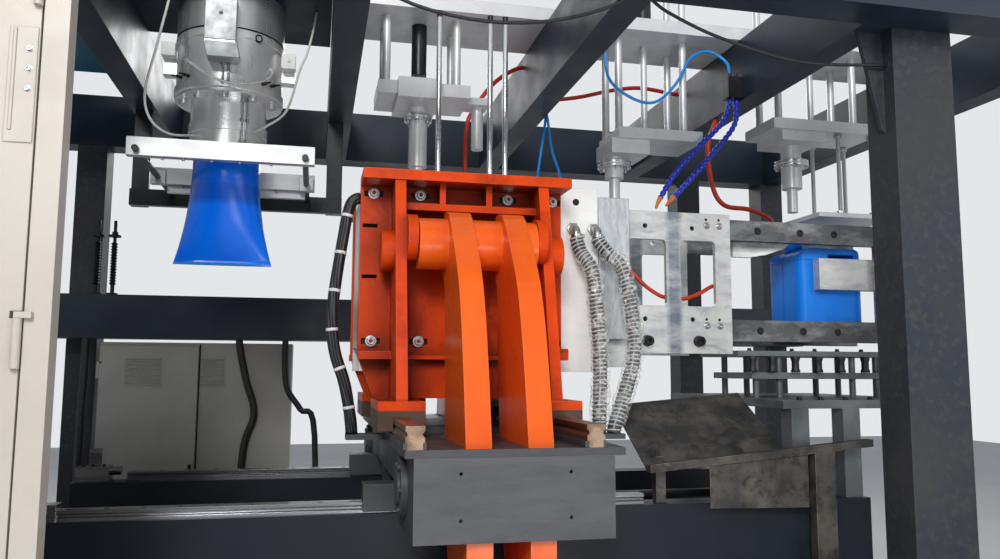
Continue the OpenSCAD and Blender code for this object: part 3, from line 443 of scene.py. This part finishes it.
frame_paint = finish("blue-grey structure paint", "#1E2937", "#2C3A4A", blotch_mm=260, rough=(0.32, 0.55),
                     grain_mm=4, bump=0.25, worn="#596068", specular=0.3)
base_paint = finish("oily dark structure paint", "#161C25", "#222932", blotch_mm=380, rough=(0.3, 0.55),
                    grain_mm=4, bump=0.25, worn="#4A5058", specular=0.25, stain="#3B332A", stain_mm=160,
                    stain_from=0.72)
column_paint = finish("dusty structure paint", "#262D37", "#3B3C3E", blotch_mm=420, amount=0.8, rough=(0.4, 0.65),
                      grain_mm=3, bump=0.35, worn="#5C6066", speck="#3F3D3B", speck_mm=26, specular=0.3)
paint(frame_paint, "top_cross_beams", "top_side_beams", "rear_mid_beam", "head_support")
paint(base_paint, "base_side_members", "base_cross_members", "base_inner_members", "bed_beams", "bed_supports")
paint(column_paint, "columns")

# Spring-loaded adjusting rods on the rear beam: threaded bar, nuts and a coil
# spring, all black oxide steel, which is nearly black with a dull shine.
black_oxide = finish("black oxide steel", "#1B1C1E", "#303235", blotch_mm=40, rough=(0.35, 0.5), metallic=0.6,
                     grain_mm=2)
rod = Shape()
foot = [(30, 0), (30, 14), (11, 14), (11, 60)]
spring = [(19 if k % 2 else 12, 60 + 8 * k) for k in range(30)]
nuts_and_thread = [(9, 302), (9, 330), (32, 330), (32, 342), (16, 342), (16, 360), (9, 360), (9, 420), (7, 424)]
for x in (-1775, -1690):
    rod.turned((x, 1290, 1910), up, foot + spring + nuts_and_thread)
rod.done("adjusting_rods", black_oxide, "frame", smooth=True)

# Bed: ground profile rails under a thin oily film, with light and dark streaks
# painted along them as reflections, their screws, and the black anodised drives.
rail_steel = finish("ground rail steel with painted reflections", "#95969A", "#45423E", blotch_mm=60, amount=0.9, rough=(0.18, 0.35),
                    metallic=0.9, grain_mm=2, stretch=(0.04, 1, 1))
paint(rail_steel, "shuttle_rails")
screws = Shape()
for y in (-550, 550):
    for k in range(17):
        screws.turned((-1380 + 120 * k, y, 1024.6), up, [(9, 0), (9, 1.2), (5, 1.2), (4.6, 0.4), (0, 0.4)], 16)
for x in (-1600, -1560, -1510):
    screws.screw((x, 520, 1055), up, 7, 9)
screws.done("rail_screws", black_oxide, "frame", smooth=True)
drive_black = finish("black anodised cylinder", "#1D1F22", "#34373B", blotch_mm=90, rough=(0.25, 0.45),
                     metallic=0.4, grain_mm=2)
paint(drive_black, "shuttle_cylinder", "clamp_cylinder", "station_drives", "sealing_guides", "coolant_valves")

# Carriage: thick flame-cut plates in a dark textured paint, rubbed grey at the
# edges; the end plate is planed and shows the cutter's fine cross lines.
carriage_paint = finish("dark textured paint", "#3E4043", "#2A2C2F", blotch_mm=150, rough=(0.4, 0.6),
                        grain_mm=2.5, bump=0.6, worn="#707276")
planed_plate = finish("planed dark plate", "#505255", "#3E4043", blotch_mm=90, rough=(0.38, 0.55), metallic=0.25,
                      grain_mm=3.2, bump=0.9, stretch=(0.35, 1, 1.6), worn="#8A8C8E")
paint(carriage_paint, "carriage_top", "carriage_sides", "carriage_runners", "pivot_shafts")
paint(planed_plate, "carriage_ends")
bright_steel = finish("turned steel", "#E0E3E6", "#B4B8BC", blotch_mm=60, rough=(0.18, 0.3), metallic=0.85,
                      grain_mm=1)
paint(bright_steel, "shuttle_rod", "clamp_rod")

# Clamp rails: profile rails with old grease, rust-brown on the flanks, on a
# dark packing strip; runners of brown-stained cast steel.
clamp_rail_steel = finish("greased clamp rail steel", "#8F7864", "#4A2A1C", blotch_mm=50, amount=0.9,
                          rough=(0.25, 0.5), metallic=0.75, grain_mm=2, stretch=(1, 0.08, 1), worn="#C9B98F")
paint(clamp_rail_steel, "clamp_rails")
strip = Shape()
for x in (-265, 325):
    for s in (-1, 1):
        strip.block(x - 37, x + 37, *sorted((s * 1098, s * 420)), 1255.2, 1276.5)
strip.done("rail_packing", carriage_paint, "carriage", bevel_mm=1.5)
runner_paint = finish("brown-stained runner castings", "#4F3527", "#2A1B14", blotch_mm=60, rough=(0.35, 0.6),
                      grain_mm=3, bump=0.4, worn="#7D5A40")
paint(runner_paint, "front_runners", "rear_runners")

# Platens: ribbed steel castings in thick orange enamel, rough from the sand
# mould, with painted shade darkening the corners and bright chips on the edges.
cast_enamel = finish("orange enamel on casting", "#E2480A", "#B23004", blotch_mm=160, amount=0.75,
                     rough=(0.3, 0.5), grain_mm=5, bump=0.7, worn="#EE8A4A", specular=0.16, stain="#7A1E06",
                     stain_mm=240, stain_from=0.66, painted_hollow_shade="#5A1003")
paint(cast_enamel, "front_platen", "rear_platen")
zinc = finish("zinc-plated screws", "#B9BCBE", "#77797B", blotch_mm=12, rough=(0.2, 0.4), metallic=1.0, grain_mm=1)
# Thin dark plates laid in the slot bottoms are painted shade.
painted_gap_shade = finish("painted shade in slots and seams", "#1A1412", "#0E0B0A", blotch_mm=20, rough=(0.7, 0.9), grain_mm=2)
for s, body in ((-1, "front_clamp"), (1, "rear_clamp")):
    heads, gaps = Shape(), Shape()
    for x in (-359, -169, 199, 392):
        for z in (1617, 2215):
            heads.screw((x, s * 355.4, z), (0, s, 0), 15.6, 20)
            gaps.block(x - 38, x + 38, *sorted((s * 335.2, s * 336.5)), z - 12, z + 12)
    for z in (1876, 2083):
        gaps.block(-400, -340, *sorted((s * 320.2, s * 322)), z - 8, z + 8)
    heads.done(f"platen_screws_{body}", zinc, body, smooth=True)
    gaps.done(f"platen_slot_shade_{body}", painted_gap_shade, body, bevel_mm=0.2)

# Rocker arms: flame-cut plate, ground flat and sprayed in a lighter coat of
# the same orange, a little streaked along the arm and spotted by oil.
arm_enamel = finish("orange enamel on plate", "#F0661E", "#DC4A0A", blotch_mm=320, amount=0.6, rough=(0.2, 0.34),
                    grain_mm=4, bump=0.2, stretch=(1, 1, 0.5), worn="#F09A5A", specular=0.32,
                    stain="#A63A12", stain_mm=22, stain_from=0.74)
paint(arm_enamel, "front_rocker", "rear_rocker")

# Moulds and masks: milled aluminium plate, pale and finely lined, with oil in
# grey-blue clouds, densest on the web between the windows and on the bars.
mould_plate = finish("milled mould plate", "#F4F2EE", "#E4E4E2", blotch_mm=160, rough=(0.3, 0.45), metallic=0.15,
                     grain_mm=2, stretch=(1, 1, 5))
mask_plate = finish("oil-stained mask plate", "#D6D5D2", "#A9AEB4", blotch_mm=140, amount=0.9, rough=(0.28, 0.45),
                    metallic=0.3, grain_mm=2, stretch=(1, 1, 2.5), stain="#7F8C99", stain_mm=260, stain_from=0.66)
paint(mould_plate, "front_mould", "rear_mould")
paint(mask_plate, "front_mask", "rear_mask")
tree = mask_plate.node_tree
where = add(tree, "ShaderNodeSeparateXYZ", {0: tree.nodes["Texture Coordinate"].outputs["Object"]})
along, height = where.outputs["X"], where.outputs["Z"]
shader = tree.nodes["Principled BSDF"]
oiled = shader.inputs["Base Color"].links[0].from_socket
smear_mm = 200
smear = add(tree, "ShaderNodeTexNoise", {"Vector": tree.nodes["Mapping"].outputs[0], "Scale": 1000 / smear_mm,
                                         "Detail": 7, "Roughness": 0.7}).outputs[0]
patches = add(tree, "ShaderNodeMapRange", {"Value": smear, "From Min": 0.45, "From Max": 0.62}).outputs[0]
mottle = add(tree, "ShaderNodeMix", {"Factor": patches, 6: "#26292D", 7: "#6C6F73"}, data_type="RGBA").outputs[2]
web_left = add(tree, "ShaderNodeMapRange", {"Value": along, "From Min": 0.955, "From Max": 0.98}).outputs[0]
web_right = add(tree, "ShaderNodeMapRange", {"Value": along, "From Min": 1.045, "From Max": 1.02}).outputs[0]
web = add(tree, "ShaderNodeMath", {0: web_left, 1: web_right}, operation="MULTIPLY").outputs[0]
uneven = add(tree, "ShaderNodeMapRange", {"Value": smear, "From Min": 0.38, "From Max": 0.6, "To Min": 0.35,
                                          "To Max": 0.9}).outputs[0]
web = add(tree, "ShaderNodeMath", {0: web, 1: uneven}, operation="MULTIPLY").outputs[0]
oiled = add(tree, "ShaderNodeMix", {"Factor": web, 6: oiled, 7: "#5C6B7B"}, data_type="RGBA").outputs[2]
lower = add(tree, "ShaderNodeMapRange", {"Value": height, "From Min": 1.745, "From Max": 1.74}).outputs[0]
upper = add(tree, "ShaderNodeMapRange", {"Value": height, "From Min": 2.05, "From Max": 2.08}).outputs[0]
off_level = add(tree, "ShaderNodeMath", {0: lower, 1: upper}, operation="MAXIMUM").outputs[0]
past_windows = add(tree, "ShaderNodeMapRange", {"Value": along, "From Min": 1.2785, "From Max": 1.2795,
                                                "To Max": 0.92}).outputs[0]
bars = add(tree, "ShaderNodeMath", {0: past_windows, 1: off_level}, operation="MULTIPLY").outputs[0]
oiled = add(tree, "ShaderNodeMix", {"Factor": bars, 6: oiled, 7: mottle}, data_type="RGBA").outputs[2]
tree.links.new(oiled, shader.inputs["Base Color"])
sockets, small, knobs = Shape(), Shape(), Shape()
for x, z in ((862, 2155), (1091, 2152), (857, 1735), (1086, 1735)):
    sockets.turned((x, -226, z), (0, -1, 0), [(10.6, 0), (10.6, 6), (5, 6), (5, 1), (0, 1)], 20)
for x, z in ((1162, 2167), (1225, 2167), (1155, 1709), (1218, 1708)):
    small.screw((x, -240, z), (0, -1, 0), 11, 12)
    sockets.turned((x - 2, -240.4, z + 28), (0, -1, 0), [(6, 0), (6, 0.8), (0, 0.8)], 16)
knob = [(25, 0), (25, 4), (22, 6), (22, 30), (19, 34), (9, 34), (8, 20), (0, 20)]
for x, z in ((864, 1637), (1111, 1637)):
    knobs.turned((x, -240, z), (0, -1, 0), knob)
for x in (1420, 1640, 1820, 2150):
    for z in (2152, 1689):
        sockets.turned((x, -240.4, z), (0, -1, 0), [(17, 0), (17, 1.2), (11, 1.8), (10, 0.5), (0, 0.5)])
sockets.turned((520, -290.4, 2235), (0, -1, 0), [(15, 0), (15, 1.2), (12, 1.6), (11, 0.5), (0, 0.5)])
sockets.done("mask_sockets", black_oxide, "front_clamp", smooth=True)
small.done("mask_screws", zinc, "front_clamp", smooth=True)
knobs.done("mask_knobs", black_oxide, "front_clamp", smooth=True)

# A steel locating plate, brushed upright and stained by oil, stands in front
# of the mask's first part, and red water pipe is bent behind the windows.
brushed = finish("brushed locating plate", "#C4C7CA", "#9CA2A8", blotch_mm=70, amount=0.8, rough=(0.26, 0.42),
                 metallic=0.4, grain_mm=1.5, stretch=(4, 1, 1), stain="#6E7A87", stain_mm=90, stain_from=0.66)
Shape().block(622, 764, -297, -291, 1640, 2262).done("locating_plate", brushed, "front_clamp", bevel_mm=2)
for i, points in enumerate(([[735, -190, 1990], [800, -190, 1960], [890, -190, 1880], [975, -190, 1838]],
                            [[1015, -190, 1832], [1080, -190, 1835], [1150, -190, 1862], [1215, -190, 1895]])):
    pipe = sweep(f"red_water_pipe_{i + 1}", route(right, right, points, 8), lambda s, a: 0.009, red_line, 14)
    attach(pipe, "front_clamp")

# Hose elbows: dipped galvanised elbows, grey and spangled, screwed into the
# mould plate, each with a bright worm-drive clamp over the hose end.
elbow_steel = finish("galvanised elbow", "#A7A9A8", "#7A7C7B", blotch_mm=18, rough=(0.3, 0.45), metallic=0.8,
                     grain_mm=2)
elbow_r, elbow_z, elbow_sides = 19, 2115, 20
bend = [(-290, 0), (-300, 0), (-312, 1), (-326, 5), (-337, 14), (-342, 26), (-343, 46)]
fittings, clips = Shape(), Shape()
for x in (505, 600):
    rings = []
    for j, (y, drop) in enumerate(bend):
        tilt = math.radians(90 * min(1, max(0, (j - 1) / 4.5)))
        rings.append([fittings.mesh.verts.new((x + elbow_r * math.cos(a),
                                               y - elbow_r * math.sin(a) * math.sin(tilt),
                                               elbow_z - drop + elbow_r * math.sin(a) * math.cos(tilt)))
                      for a in (math.tau * k / elbow_sides for k in range(elbow_sides))])
    fittings.bridge(rings)
    fittings.turned((x, -290, elbow_z), (0, -1, 0), [(29, 0), (29, 10), (25, 12), (elbow_r, 12)], 6)
    clips.turned((x, -343, 2086), down, [(24, 0), (25.5, 1), (25.5, 15), (24, 16)])
    clips.block(x + 18, x + 36, -352, -338, 2071, 2085)
fittings.done("hose_elbow_fittings", elbow_steel, "front_clamp", smooth=True, replaces=("hose_elbows",))
clips.done("hose_clips", zinc, "front_clamp", bevel_mm=0.6, replaces=("hose_elbows",))

# Jerrycan: blown blue polyethylene, satin, with the mould's parting line as a
# thin ridge and two ribs pressed round the body.
can_blue = finish("blown blue polyethylene", "#0587F8", "#0470DE", blotch_mm=160, rough=(0.3, 0.42), grain_mm=5,
                  bump=0.2, edge_mm=10, specular=0.3)
paint(can_blue, "jerrycan")


def rounded(x0, x1, y0, y1, r, n=8):
    """A rectangle with round corners, each of n steps."""
    corners = ((x1 - r, y1 - r, 0), (x0 + r, y1 - r, 90), (x0 + r, y0 + r, 180), (x1 - r, y0 + r, 270))
    return [(cx + r * math.cos(math.radians(a + 90 * k / n)), cy + r * math.sin(math.radians(a + 90 * k / n)))
            for cx, cy, a in corners for k in range(n + 1)]


def band(shape, outer, inner, axis, a, b):
    """A closed band between two outlines of equal count."""
    loops = [[shape.mesh.verts.new(spot_on(axis, p, h)) for p in loop]
             for h, loop in ((a, outer), (b, outer), (b, inner), (a, inner))]
    for p, q in zip(loops, loops[1:] + loops[:1]):
        for k in range(len(p)):
            j = (k + 1) % len(p)
            shape.mesh.faces.new((p[k], q[k], q[j], p[j]))


ridge = Shape()
band(ridge, rounded(1688, 2042, 1658, 2102, 62), rounded(1691.5, 2038.5, 1661.5, 2098.5, 58.5), "Y", -1.2, 1.2)
for z in (1712, 2044):
    band(ridge, rounded(1688.5, 2041.5, -151.5, 149, 51), rounded(1692, 2038, -148, 148, 48), "Z", z - 3, z + 3)
ridge.done("jerrycan_ribs", can_blue, "front_clamp", bevel_mm=1.2, smooth=True)

# Stations: clear anodised aluminium plates, pale with a soft shine, on
# hardened guide rods, with flanges, black spacer studs and the fixed rods.
plate_steel = finish("clear anodised plate", "#DFE1E3", "#C2C5C8", blotch_mm=110, rough=(0.28, 0.42), metallic=0.25,
                     grain_mm=1.5)
paint(plate_steel, "station_plates", "crosshead_1", "crosshead_2", "crosshead_3")
rods = Shape()
for x in (-74, 156, 225):
    rods.turned((x, -185, 2330.5), up, [(12.4, 0), (12.4, 730), (9, 740), (9, 758)])
rods.done("fixed_rods", bright_steel, "frame", smooth=True)
for body, x, z, r in (("blow_head", -142, 2662, 62), ("cool_head", 808, 2500, 80), ("trim_head", 1758, 2560, 83)):
    ring, bolts = Shape(), Shape()
    ring.turned((x, 0, z - 31), up, [(r - 6, 0), (r + 1, 3), (r + 1, 12), (r - 5, 12), (r - 5, 17), (r + 1, 17),
                                     (r + 1, 31), (r * 0.6, 31.5)])
    for k in range(6):
        a = math.tau * (k + 0.3) / 6
        bolts.screw((x + (r - 12) * math.cos(a), (r - 12) * math.sin(a), z - 31), down, 6.5, 10)
    ring.done(f"sleeve_flange_{body}", bright_steel, body, smooth=True)
    bolts.done(f"sleeve_flange_screws_{body}", zinc, body, smooth=True)
studs, nuts = Shape(), Shape()
for x in (1953, 2139):
    for y in (-110, 110):
        studs.turned((x, y, 2281), up, [(10.6 if k % 2 else 9.2, 2.5 * k) for k in range(163)], 14)
        for z in (2281, 2668):
            nuts.turned((x, y, z), up, [(18, 0), (19, 3), (19, 18), (17, 21)], 6)
studs.done("spacer_studs", black_oxide, "trim_head", smooth=True)
nuts.done("spacer_nuts", zinc, "trim_head", bevel_mm=0.6)

# Head: stainless shells rolled from sheet, heat-stained in blue-grey clouds,
# with clamp screws, a box for the heater leads and thermocouples.
head_steel = finish("heat-stained stainless steel", "#EFF0F0", "#C9CBCC", blotch_mm=130, rough=(0.22, 0.42),
                    metallic=0.6, grain_mm=2, stretch=(1, 1, 0.3), stain="#8290A4", stain_mm=180, stain_from=0.66)
stack_steel = finish("brushed stack steel", "#DADCDD", "#B3B5B6", blotch_mm=130, rough=(0.24, 0.42), metallic=0.75,
                     grain_mm=2, stretch=(1, 1, 0.3), stain="#7C8897", stain_mm=180, stain_from=0.66)
paint(stack_steel, "head_upper_shell", "head_fittings")
paint(head_steel, "head_lower_shell", "die_body")
head_x = -970
tights, port = Shape(), Shape()
for angle, r, z0, z1 in ((1, 221, 2672, 2836), (29, 158, 2448, 2640)):
    for off in (-11, 11):
        a = math.radians(angle) + off / r
        x, y = head_x + (r + 7) * math.sin(a), -(r + 7) * math.cos(a)
        tights.turned((x, y, z0), up, [(4, 0), (4, z1 - z0)], 12)
        for z in (z0, (z0 + z1) / 2 - 8, z1 - 16):
            tights.turned((x, y, z), up, [(8, 0), (8, 14)], 6)
tights.done("heater_band_screws", zinc, "frame", smooth=True)
port.turned((-846, -182, 2890), (0.56, -0.83, -0.05), [(15, -8), (17, 2), (17, 9), (12, 9), (11, 2), (0, 2)])
for x, y, z in ((-1150, -128, 2716), (-1120, -168, 2712), (-820, -168, 2700), (-790, -130, 2706)):
    port.turned((x, y, z), (x - head_x, y, -8), [(7, -4), (7, 22), (4, 24), (4, 46), (0, 48)], 16)
port.turned((head_x, 0, 2916), up, [(205, 0), (223, 0), (223, 6), (205, 6)], 72)
port.done("head_sensors", black_oxide, "frame", smooth=True)
box_grey = finish("galvanised lead box", "#9DA1A3", "#84888A", blotch_mm=60, rough=(0.35, 0.5), metallic=0.4)
case = Shape()
case.outline([(-1052, 2825), (-1034, 2758), (-906, 2758), (-919, 2825)], "Y", -299, -232)
case.block(-1047, -923, -303, -298, 2828, 3008)
case.turned((-985, -303, 2940), (0, -1, 0), [(8, 0), (8, 4), (3, 5), (3, 12)], 16)
case.done("lead_box_cover", box_grey, "frame", bevel_mm=2)
clamp_boxes = Shape()
clamp_boxes.block(-752, -692, -88, -40, 2806, 2872).block(-1246, -1190, -80, -36, 2826, 2884)
clamp_boxes.turned((-722, -88, 2840), (0, -1, 0), [(7, 0), (7, 5), (3, 5), (3, 3), (0, 3)], 16)
clamp_boxes.done("terminal_boxes", tie_white, "frame", bevel_mm=3)

# Molten tube: translucent blue polyethylene, round at the die and pinched
# shut below, where the squeezed lip has chilled to a bead.
hot_blue = finish("molten blue polyethylene", "#0478FF", "#0562EE", blotch_mm=140, rough=(0.16, 0.28), grain_mm=24,
                  bump=0.25, specular=0.35)
tree = hot_blue.node_tree
shader = tree.nodes["Principled BSDF"]
high = add(tree, "ShaderNodeSeparateXYZ", {0: tree.nodes["Texture Coordinate"].outputs["Object"]}).outputs["Z"]
# Painted shade: a darker band on the tube just below the sealing bars.
bar_shade_lower_edge = add(tree, "ShaderNodeMapRange", {"Value": high, "From Min": 2.185, "From Max": 2.215}).outputs[0]
bar_shade_upper_edge = add(tree, "ShaderNodeMapRange", {"Value": high, "From Min": 2.30, "From Max": 2.27}).outputs[0]
bar_shade = add(tree, "ShaderNodeMath", {0: bar_shade_lower_edge, 1: bar_shade_upper_edge}, operation="MULTIPLY").outputs[0]
soft_bar_shade = add(tree, "ShaderNodeMath", {0: bar_shade, 1: 0.55}, operation="MULTIPLY").outputs[0]
plain = shader.inputs["Base Color"].links[0].from_socket
shaded_under_bars = add(tree, "ShaderNodeMix", {"Factor": soft_bar_shade, 6: plain, 7: "#04257A"}, data_type="RGBA").outputs[2]
# Painted highlight: the lip along the bottom edge is drawn in paler blue.
lip = add(tree, "ShaderNodeMapRange", {"Value": high, "From Min": 1.956, "From Max": 1.949,
                                       "To Max": 0.7}).outputs[0]
lip_highlighted = add(tree, "ShaderNodeMix", {"Factor": lip, 6: shaded_under_bars, 7: "#4FA8FF"}, data_type="RGBA").outputs[2]
tree.links.new(lip_highlighted, shader.inputs["Base Color"])
shader.inputs["Subsurface Weight"].default_value = 0.15
die_r, tube_top, tube_length, lowest, tube_sides = 137.5, 2421.6, 477.5, 1944.2, 72
half_flat, widening, bead_from = 5, 0.47, 0.965


def tube_part(name, t0, t1, steps):
    """One length of the molten tube: it flattens where the bars close or the moulds pass."""
    part, rings = Shape(), []
    for k in range(steps + 1):
        t = t0 + (t1 - t0) * k / steps
        f = t ** 2.2
        rx, ry = die_r * (1 + widening * f), die_r * (1 - f) + half_flat * f
        z = max(tube_top - tube_length * t, lowest)
        if t > bead_from:
            ry += 8 * math.sin(math.pi * (t - bead_from) / 0.045)
        rings.append([part.mesh.verts.new((head_x + rx * math.cos(a), ry * math.sin(a), z))
                      for a in (math.tau * i / tube_sides for i in range(tube_sides))])
    part.bridge(rings)
    part.mesh.faces.new(rings[0])
    part.mesh.faces.new(rings[-1][::-1])
    piece = part.done(name, hot_blue, "frame", smooth=True, replaces=("parison",))
    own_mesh(piece)


tube_part("molten_tube_neck", 0, 0.26, 12)
tube_part("molten_tube_body", 0.26, 1, 40)

# Sealing and cutting bars: milled aluminium, bright with fine lines along the
# bar. They close under the die on two guide rods, with clamp blocks and screws.
bar_plate = finish("bright milled bar", "#C4C6C7", "#ADB0B2", blotch_mm=120, rough=(0.3, 0.42), metallic=0.45,
                   grain_mm=2, stretch=(0.3, 1, 1))
paint(bar_plate, "sealing_bar_front", "sealing_bar_rear")
for body, y in (("seal_front", -275), ("seal_rear", 240)):
    ends, under = Shape(), Shape()
    for x in (-1285, -635):
        ends.turned((x, y + 2, 2362), (0, -1, 0), [(12.4, 0), (12.4, 3), (7, 3.4), (6.5, 0.8), (0, 0.8)], 20)
    for x in (-1188, -1110, -1003, -895, -770):
        under.screw((x, y + 20, 2338), down, 6, 9)
    ends.done(f"bar_sockets_{body}", black_oxide, body, smooth=True)
    under.done(f"bar_screws_{body}", zinc, body, smooth=True)
blocks = Shape()
for x in (-1285, -635):
    blocks.block(x - 32, x + 32, 205, 239, 2330, 2396)
blocks.done("bar_clamp_blocks", bar_plate, "seal_rear", bevel_mm=2)

# Extruder: brushed barrel covers and hopper, and a blue enamelled gear case
# with its motor. It stands on a plate on the top frame, left of the head.
barrel_cover = finish("brushed barrel cover", "#A9ABAD", "#85888B", blotch_mm=120, rough=(0.3, 0.45), metallic=0.9,
                      grain_mm=1.5)
gear_paint = finish("blue gear case enamel", "#2E6C8C", "#245670", blotch_mm=160, rough=(0.3, 0.45), grain_mm=5)
paint(barrel_cover, "extruder")
paint(gear_paint, "extruder_gearbox")

# Product side: folded sheet table and trimming plates, dusty, scuffed bare
# on the edges where the trimmed waste slides off.
table_sheet = finish("scuffed mild steel sheet", "#3A3A39", "#6E675E", blotch_mm=150, amount=0.8,
                     rough=(0.38, 0.62), metallic=0.4, grain_mm=3, worn="#A1978B", stain="#22211F",
                     stain_mm=90, stain_from=0.58)
trim_plate = finish("grey trimming plates", "#62676A", "#84898C", blotch_mm=120, rough=(0.3, 0.5), metallic=0.5,
                    grain_mm=2, worn="#8D9194")
paint(table_sheet, "chute_table")
paint(trim_plate, "deflash_unit")
feet, pads = Shape(), Shape()
for x in (1400, 1500, 1620, 1740, 1860, 1990, 2110):
    pads.turned((x, -196, 1500.5), up, [(20, 0), (22, 6), (17, 18), (17, 50), (22, 66), (20, 74)], 20)
    feet.screw((x, -170, 1600.2), up, 9, 12)
    feet.screw((x + 30, -520, 1385.2), up, 11, 14)
pads.done("rubber_pillars", black_cable, "frame", smooth=True)
feet.done("trimming_screws", black_oxide, "frame", smooth=True)

# Guard: folded sheet door and post in cream powder coat, smooth and warm in
# tone, with a pressed strengthening plate, its screws and a rolled edge.
guard_sheet = finish("cream powder coat", "#BFB8AE", "#B1A99F", blotch_mm=300, rough=(0.35, 0.5), grain_mm=1.5,
                     bump=0.2, worn="#B0A89C", stain="#B9B1A5", stain_mm=400, stain_from=0.6)
paint(guard_sheet, "guard_post", "guard_door")
strip, dots = Shape(), Shape()
strip.block(-1334, -1268, -1514, -1510, 2050, 2345).block(-1324, -1316, -1518, -1510, 2080, 2340)
strip.done("door_strengthener", guard_sheet, "gate", bevel_mm=2)
for z in (2288, 2237, 2186):
    dots.screw((-1286, -1514, z), (0, -1, 0), 6, 7)
dots.done("door_screws", zinc, "gate", smooth=True)

# Cabinets: folded sheet enclosures in dull, even light grey powder coat, with
# pressed louvres and a swing handle, standing below the rear beam.
cabinet_sheet = finish("light grey powder coat", "#A5A59C", "#8B8B83", blotch_mm=300, rough=(0.4, 0.55),
                       grain_mm=1.5)
paint(cabinet_sheet, "electric_cabinet", "cabinet_door")
for name, x0, x1, y, body in (("left", -1588, -1404, 1228, "cabinet_leaf"), ("right", -1190, -1070, 1250, "frame")):
    slats = Shape()
    for k in range(12):
        z = 1410 + 13 * k
        slats.outline([(y, z), (y - 7, z + 1), (y - 7, z + 3), (y, z + 9)], "X", x0, x1)
    slats.block(x0 - 8, x1 + 8, y - 1.5, y, 1398, 1574)
    slats.done(f"louvre_{name}", cabinet_sheet, body, bevel_mm=0.5)
# Dark strips in the gaps between the cabinets are painted shade.
seams = Shape()
seams.block(-1206.5, -1198.5, 1249, 1252, 170, 1640).block(-1199, -702, 1248.6, 1250, 176, 186)
seams.done("cabinet_seam_shade", painted_gap_shade, "frame", bevel_mm=0.3)
grip = Shape()
grip.block(-1240, -1222, 1222, 1228, 840, 980).block(-1238, -1224, 1210, 1222, 850, 870)
grip.outline([(-1237, 850), (-1225, 850), (-1226, 970), (-1236, 970)], "Y", 1206, 1213)
grip.done("cabinet_handle", black_oxide, "cabinet_leaf", bevel_mm=2)

# A plain pale floor and backdrop, and soft studio lamps.
# The floor keeps the machine's shadow.
floor_mesh = bpy.data.meshes.new("studio_floor")
floor_mesh.from_pydata([(-14, -12, -0.002), (14, -12, -0.002), (14, 14, -0.002), (-14, 14, -0.002)], [],
                       [(0, 1, 2, 3)])
floor = bpy.data.objects.new("studio_floor", floor_mesh)
bpy.context.scene.collection.objects.link(floor)
floor_mesh.materials.append(finish("pale studio floor", "#D9DADB", "#D2D3D4", blotch_mm=900, rough=(0.6, 0.8)))
world = bpy.data.worlds.new("studio")
bpy.context.scene.world = world
world.use_nodes = True
sky_tree = world.node_tree
soft_sky = sky_tree.nodes["Background"]
soft_sky.inputs[0].default_value, soft_sky.inputs[1].default_value = linear("#DDE3EA"), 0.36
backdrop = add(sky_tree, "ShaderNodeBackground", {"Color": "#E4E7EA", "Strength": 1.0})
rays = add(sky_tree, "ShaderNodeLightPath")
seen = add(sky_tree, "ShaderNodeMath", {0: rays.outputs["Is Camera Ray"], 1: rays.outputs["Is Transmission Ray"]},
           operation="MAXIMUM")
shine = add(sky_tree, "ShaderNodeMath", {0: rays.outputs["Is Glossy Ray"], 1: 0.6}, operation="MULTIPLY")
seen = add(sky_tree, "ShaderNodeMath", {0: seen.outputs[0], 1: shine.outputs[0]}, operation="MAXIMUM")
sky = add(sky_tree, "ShaderNodeMixShader", {0: seen.outputs[0], 1: soft_sky.outputs[0], 2: backdrop.outputs[0]})
sky_tree.links.new(sky.outputs[0], sky_tree.nodes["World Output"].inputs[0])


def lamp(name, spot, aim, watts, size):
    data = bpy.data.lights.new(name, "AREA")
    data.energy, data.size = watts, size
    panel = bpy.data.objects.new(name, data)
    panel.location = spot
    panel.rotation_euler = (Vector(aim) - Vector(spot)).to_track_quat("-Z", "Y").to_euler()
    bpy.context.scene.collection.objects.link(panel)


lamp("key", (-2.4, -8.0, 5.6), (0, 0, 1.7), 420, 2.2)
lamp("fill", (4.8, -5.5, 3.4), (0.5, 0, 1.9), 70, 3.0)
lamp("rear", (1.0, 6.5, 5.5), (0, 0, 1.5), 200, 3.5)
lamp("aisle", (-1.2, -4.8, 3.0), (0.1, 0, 1.9), 24, 1.2)
lamp("low", (0.9, -4.8, 0.35), (0.1, 0, 2.9), 42, 1.6)
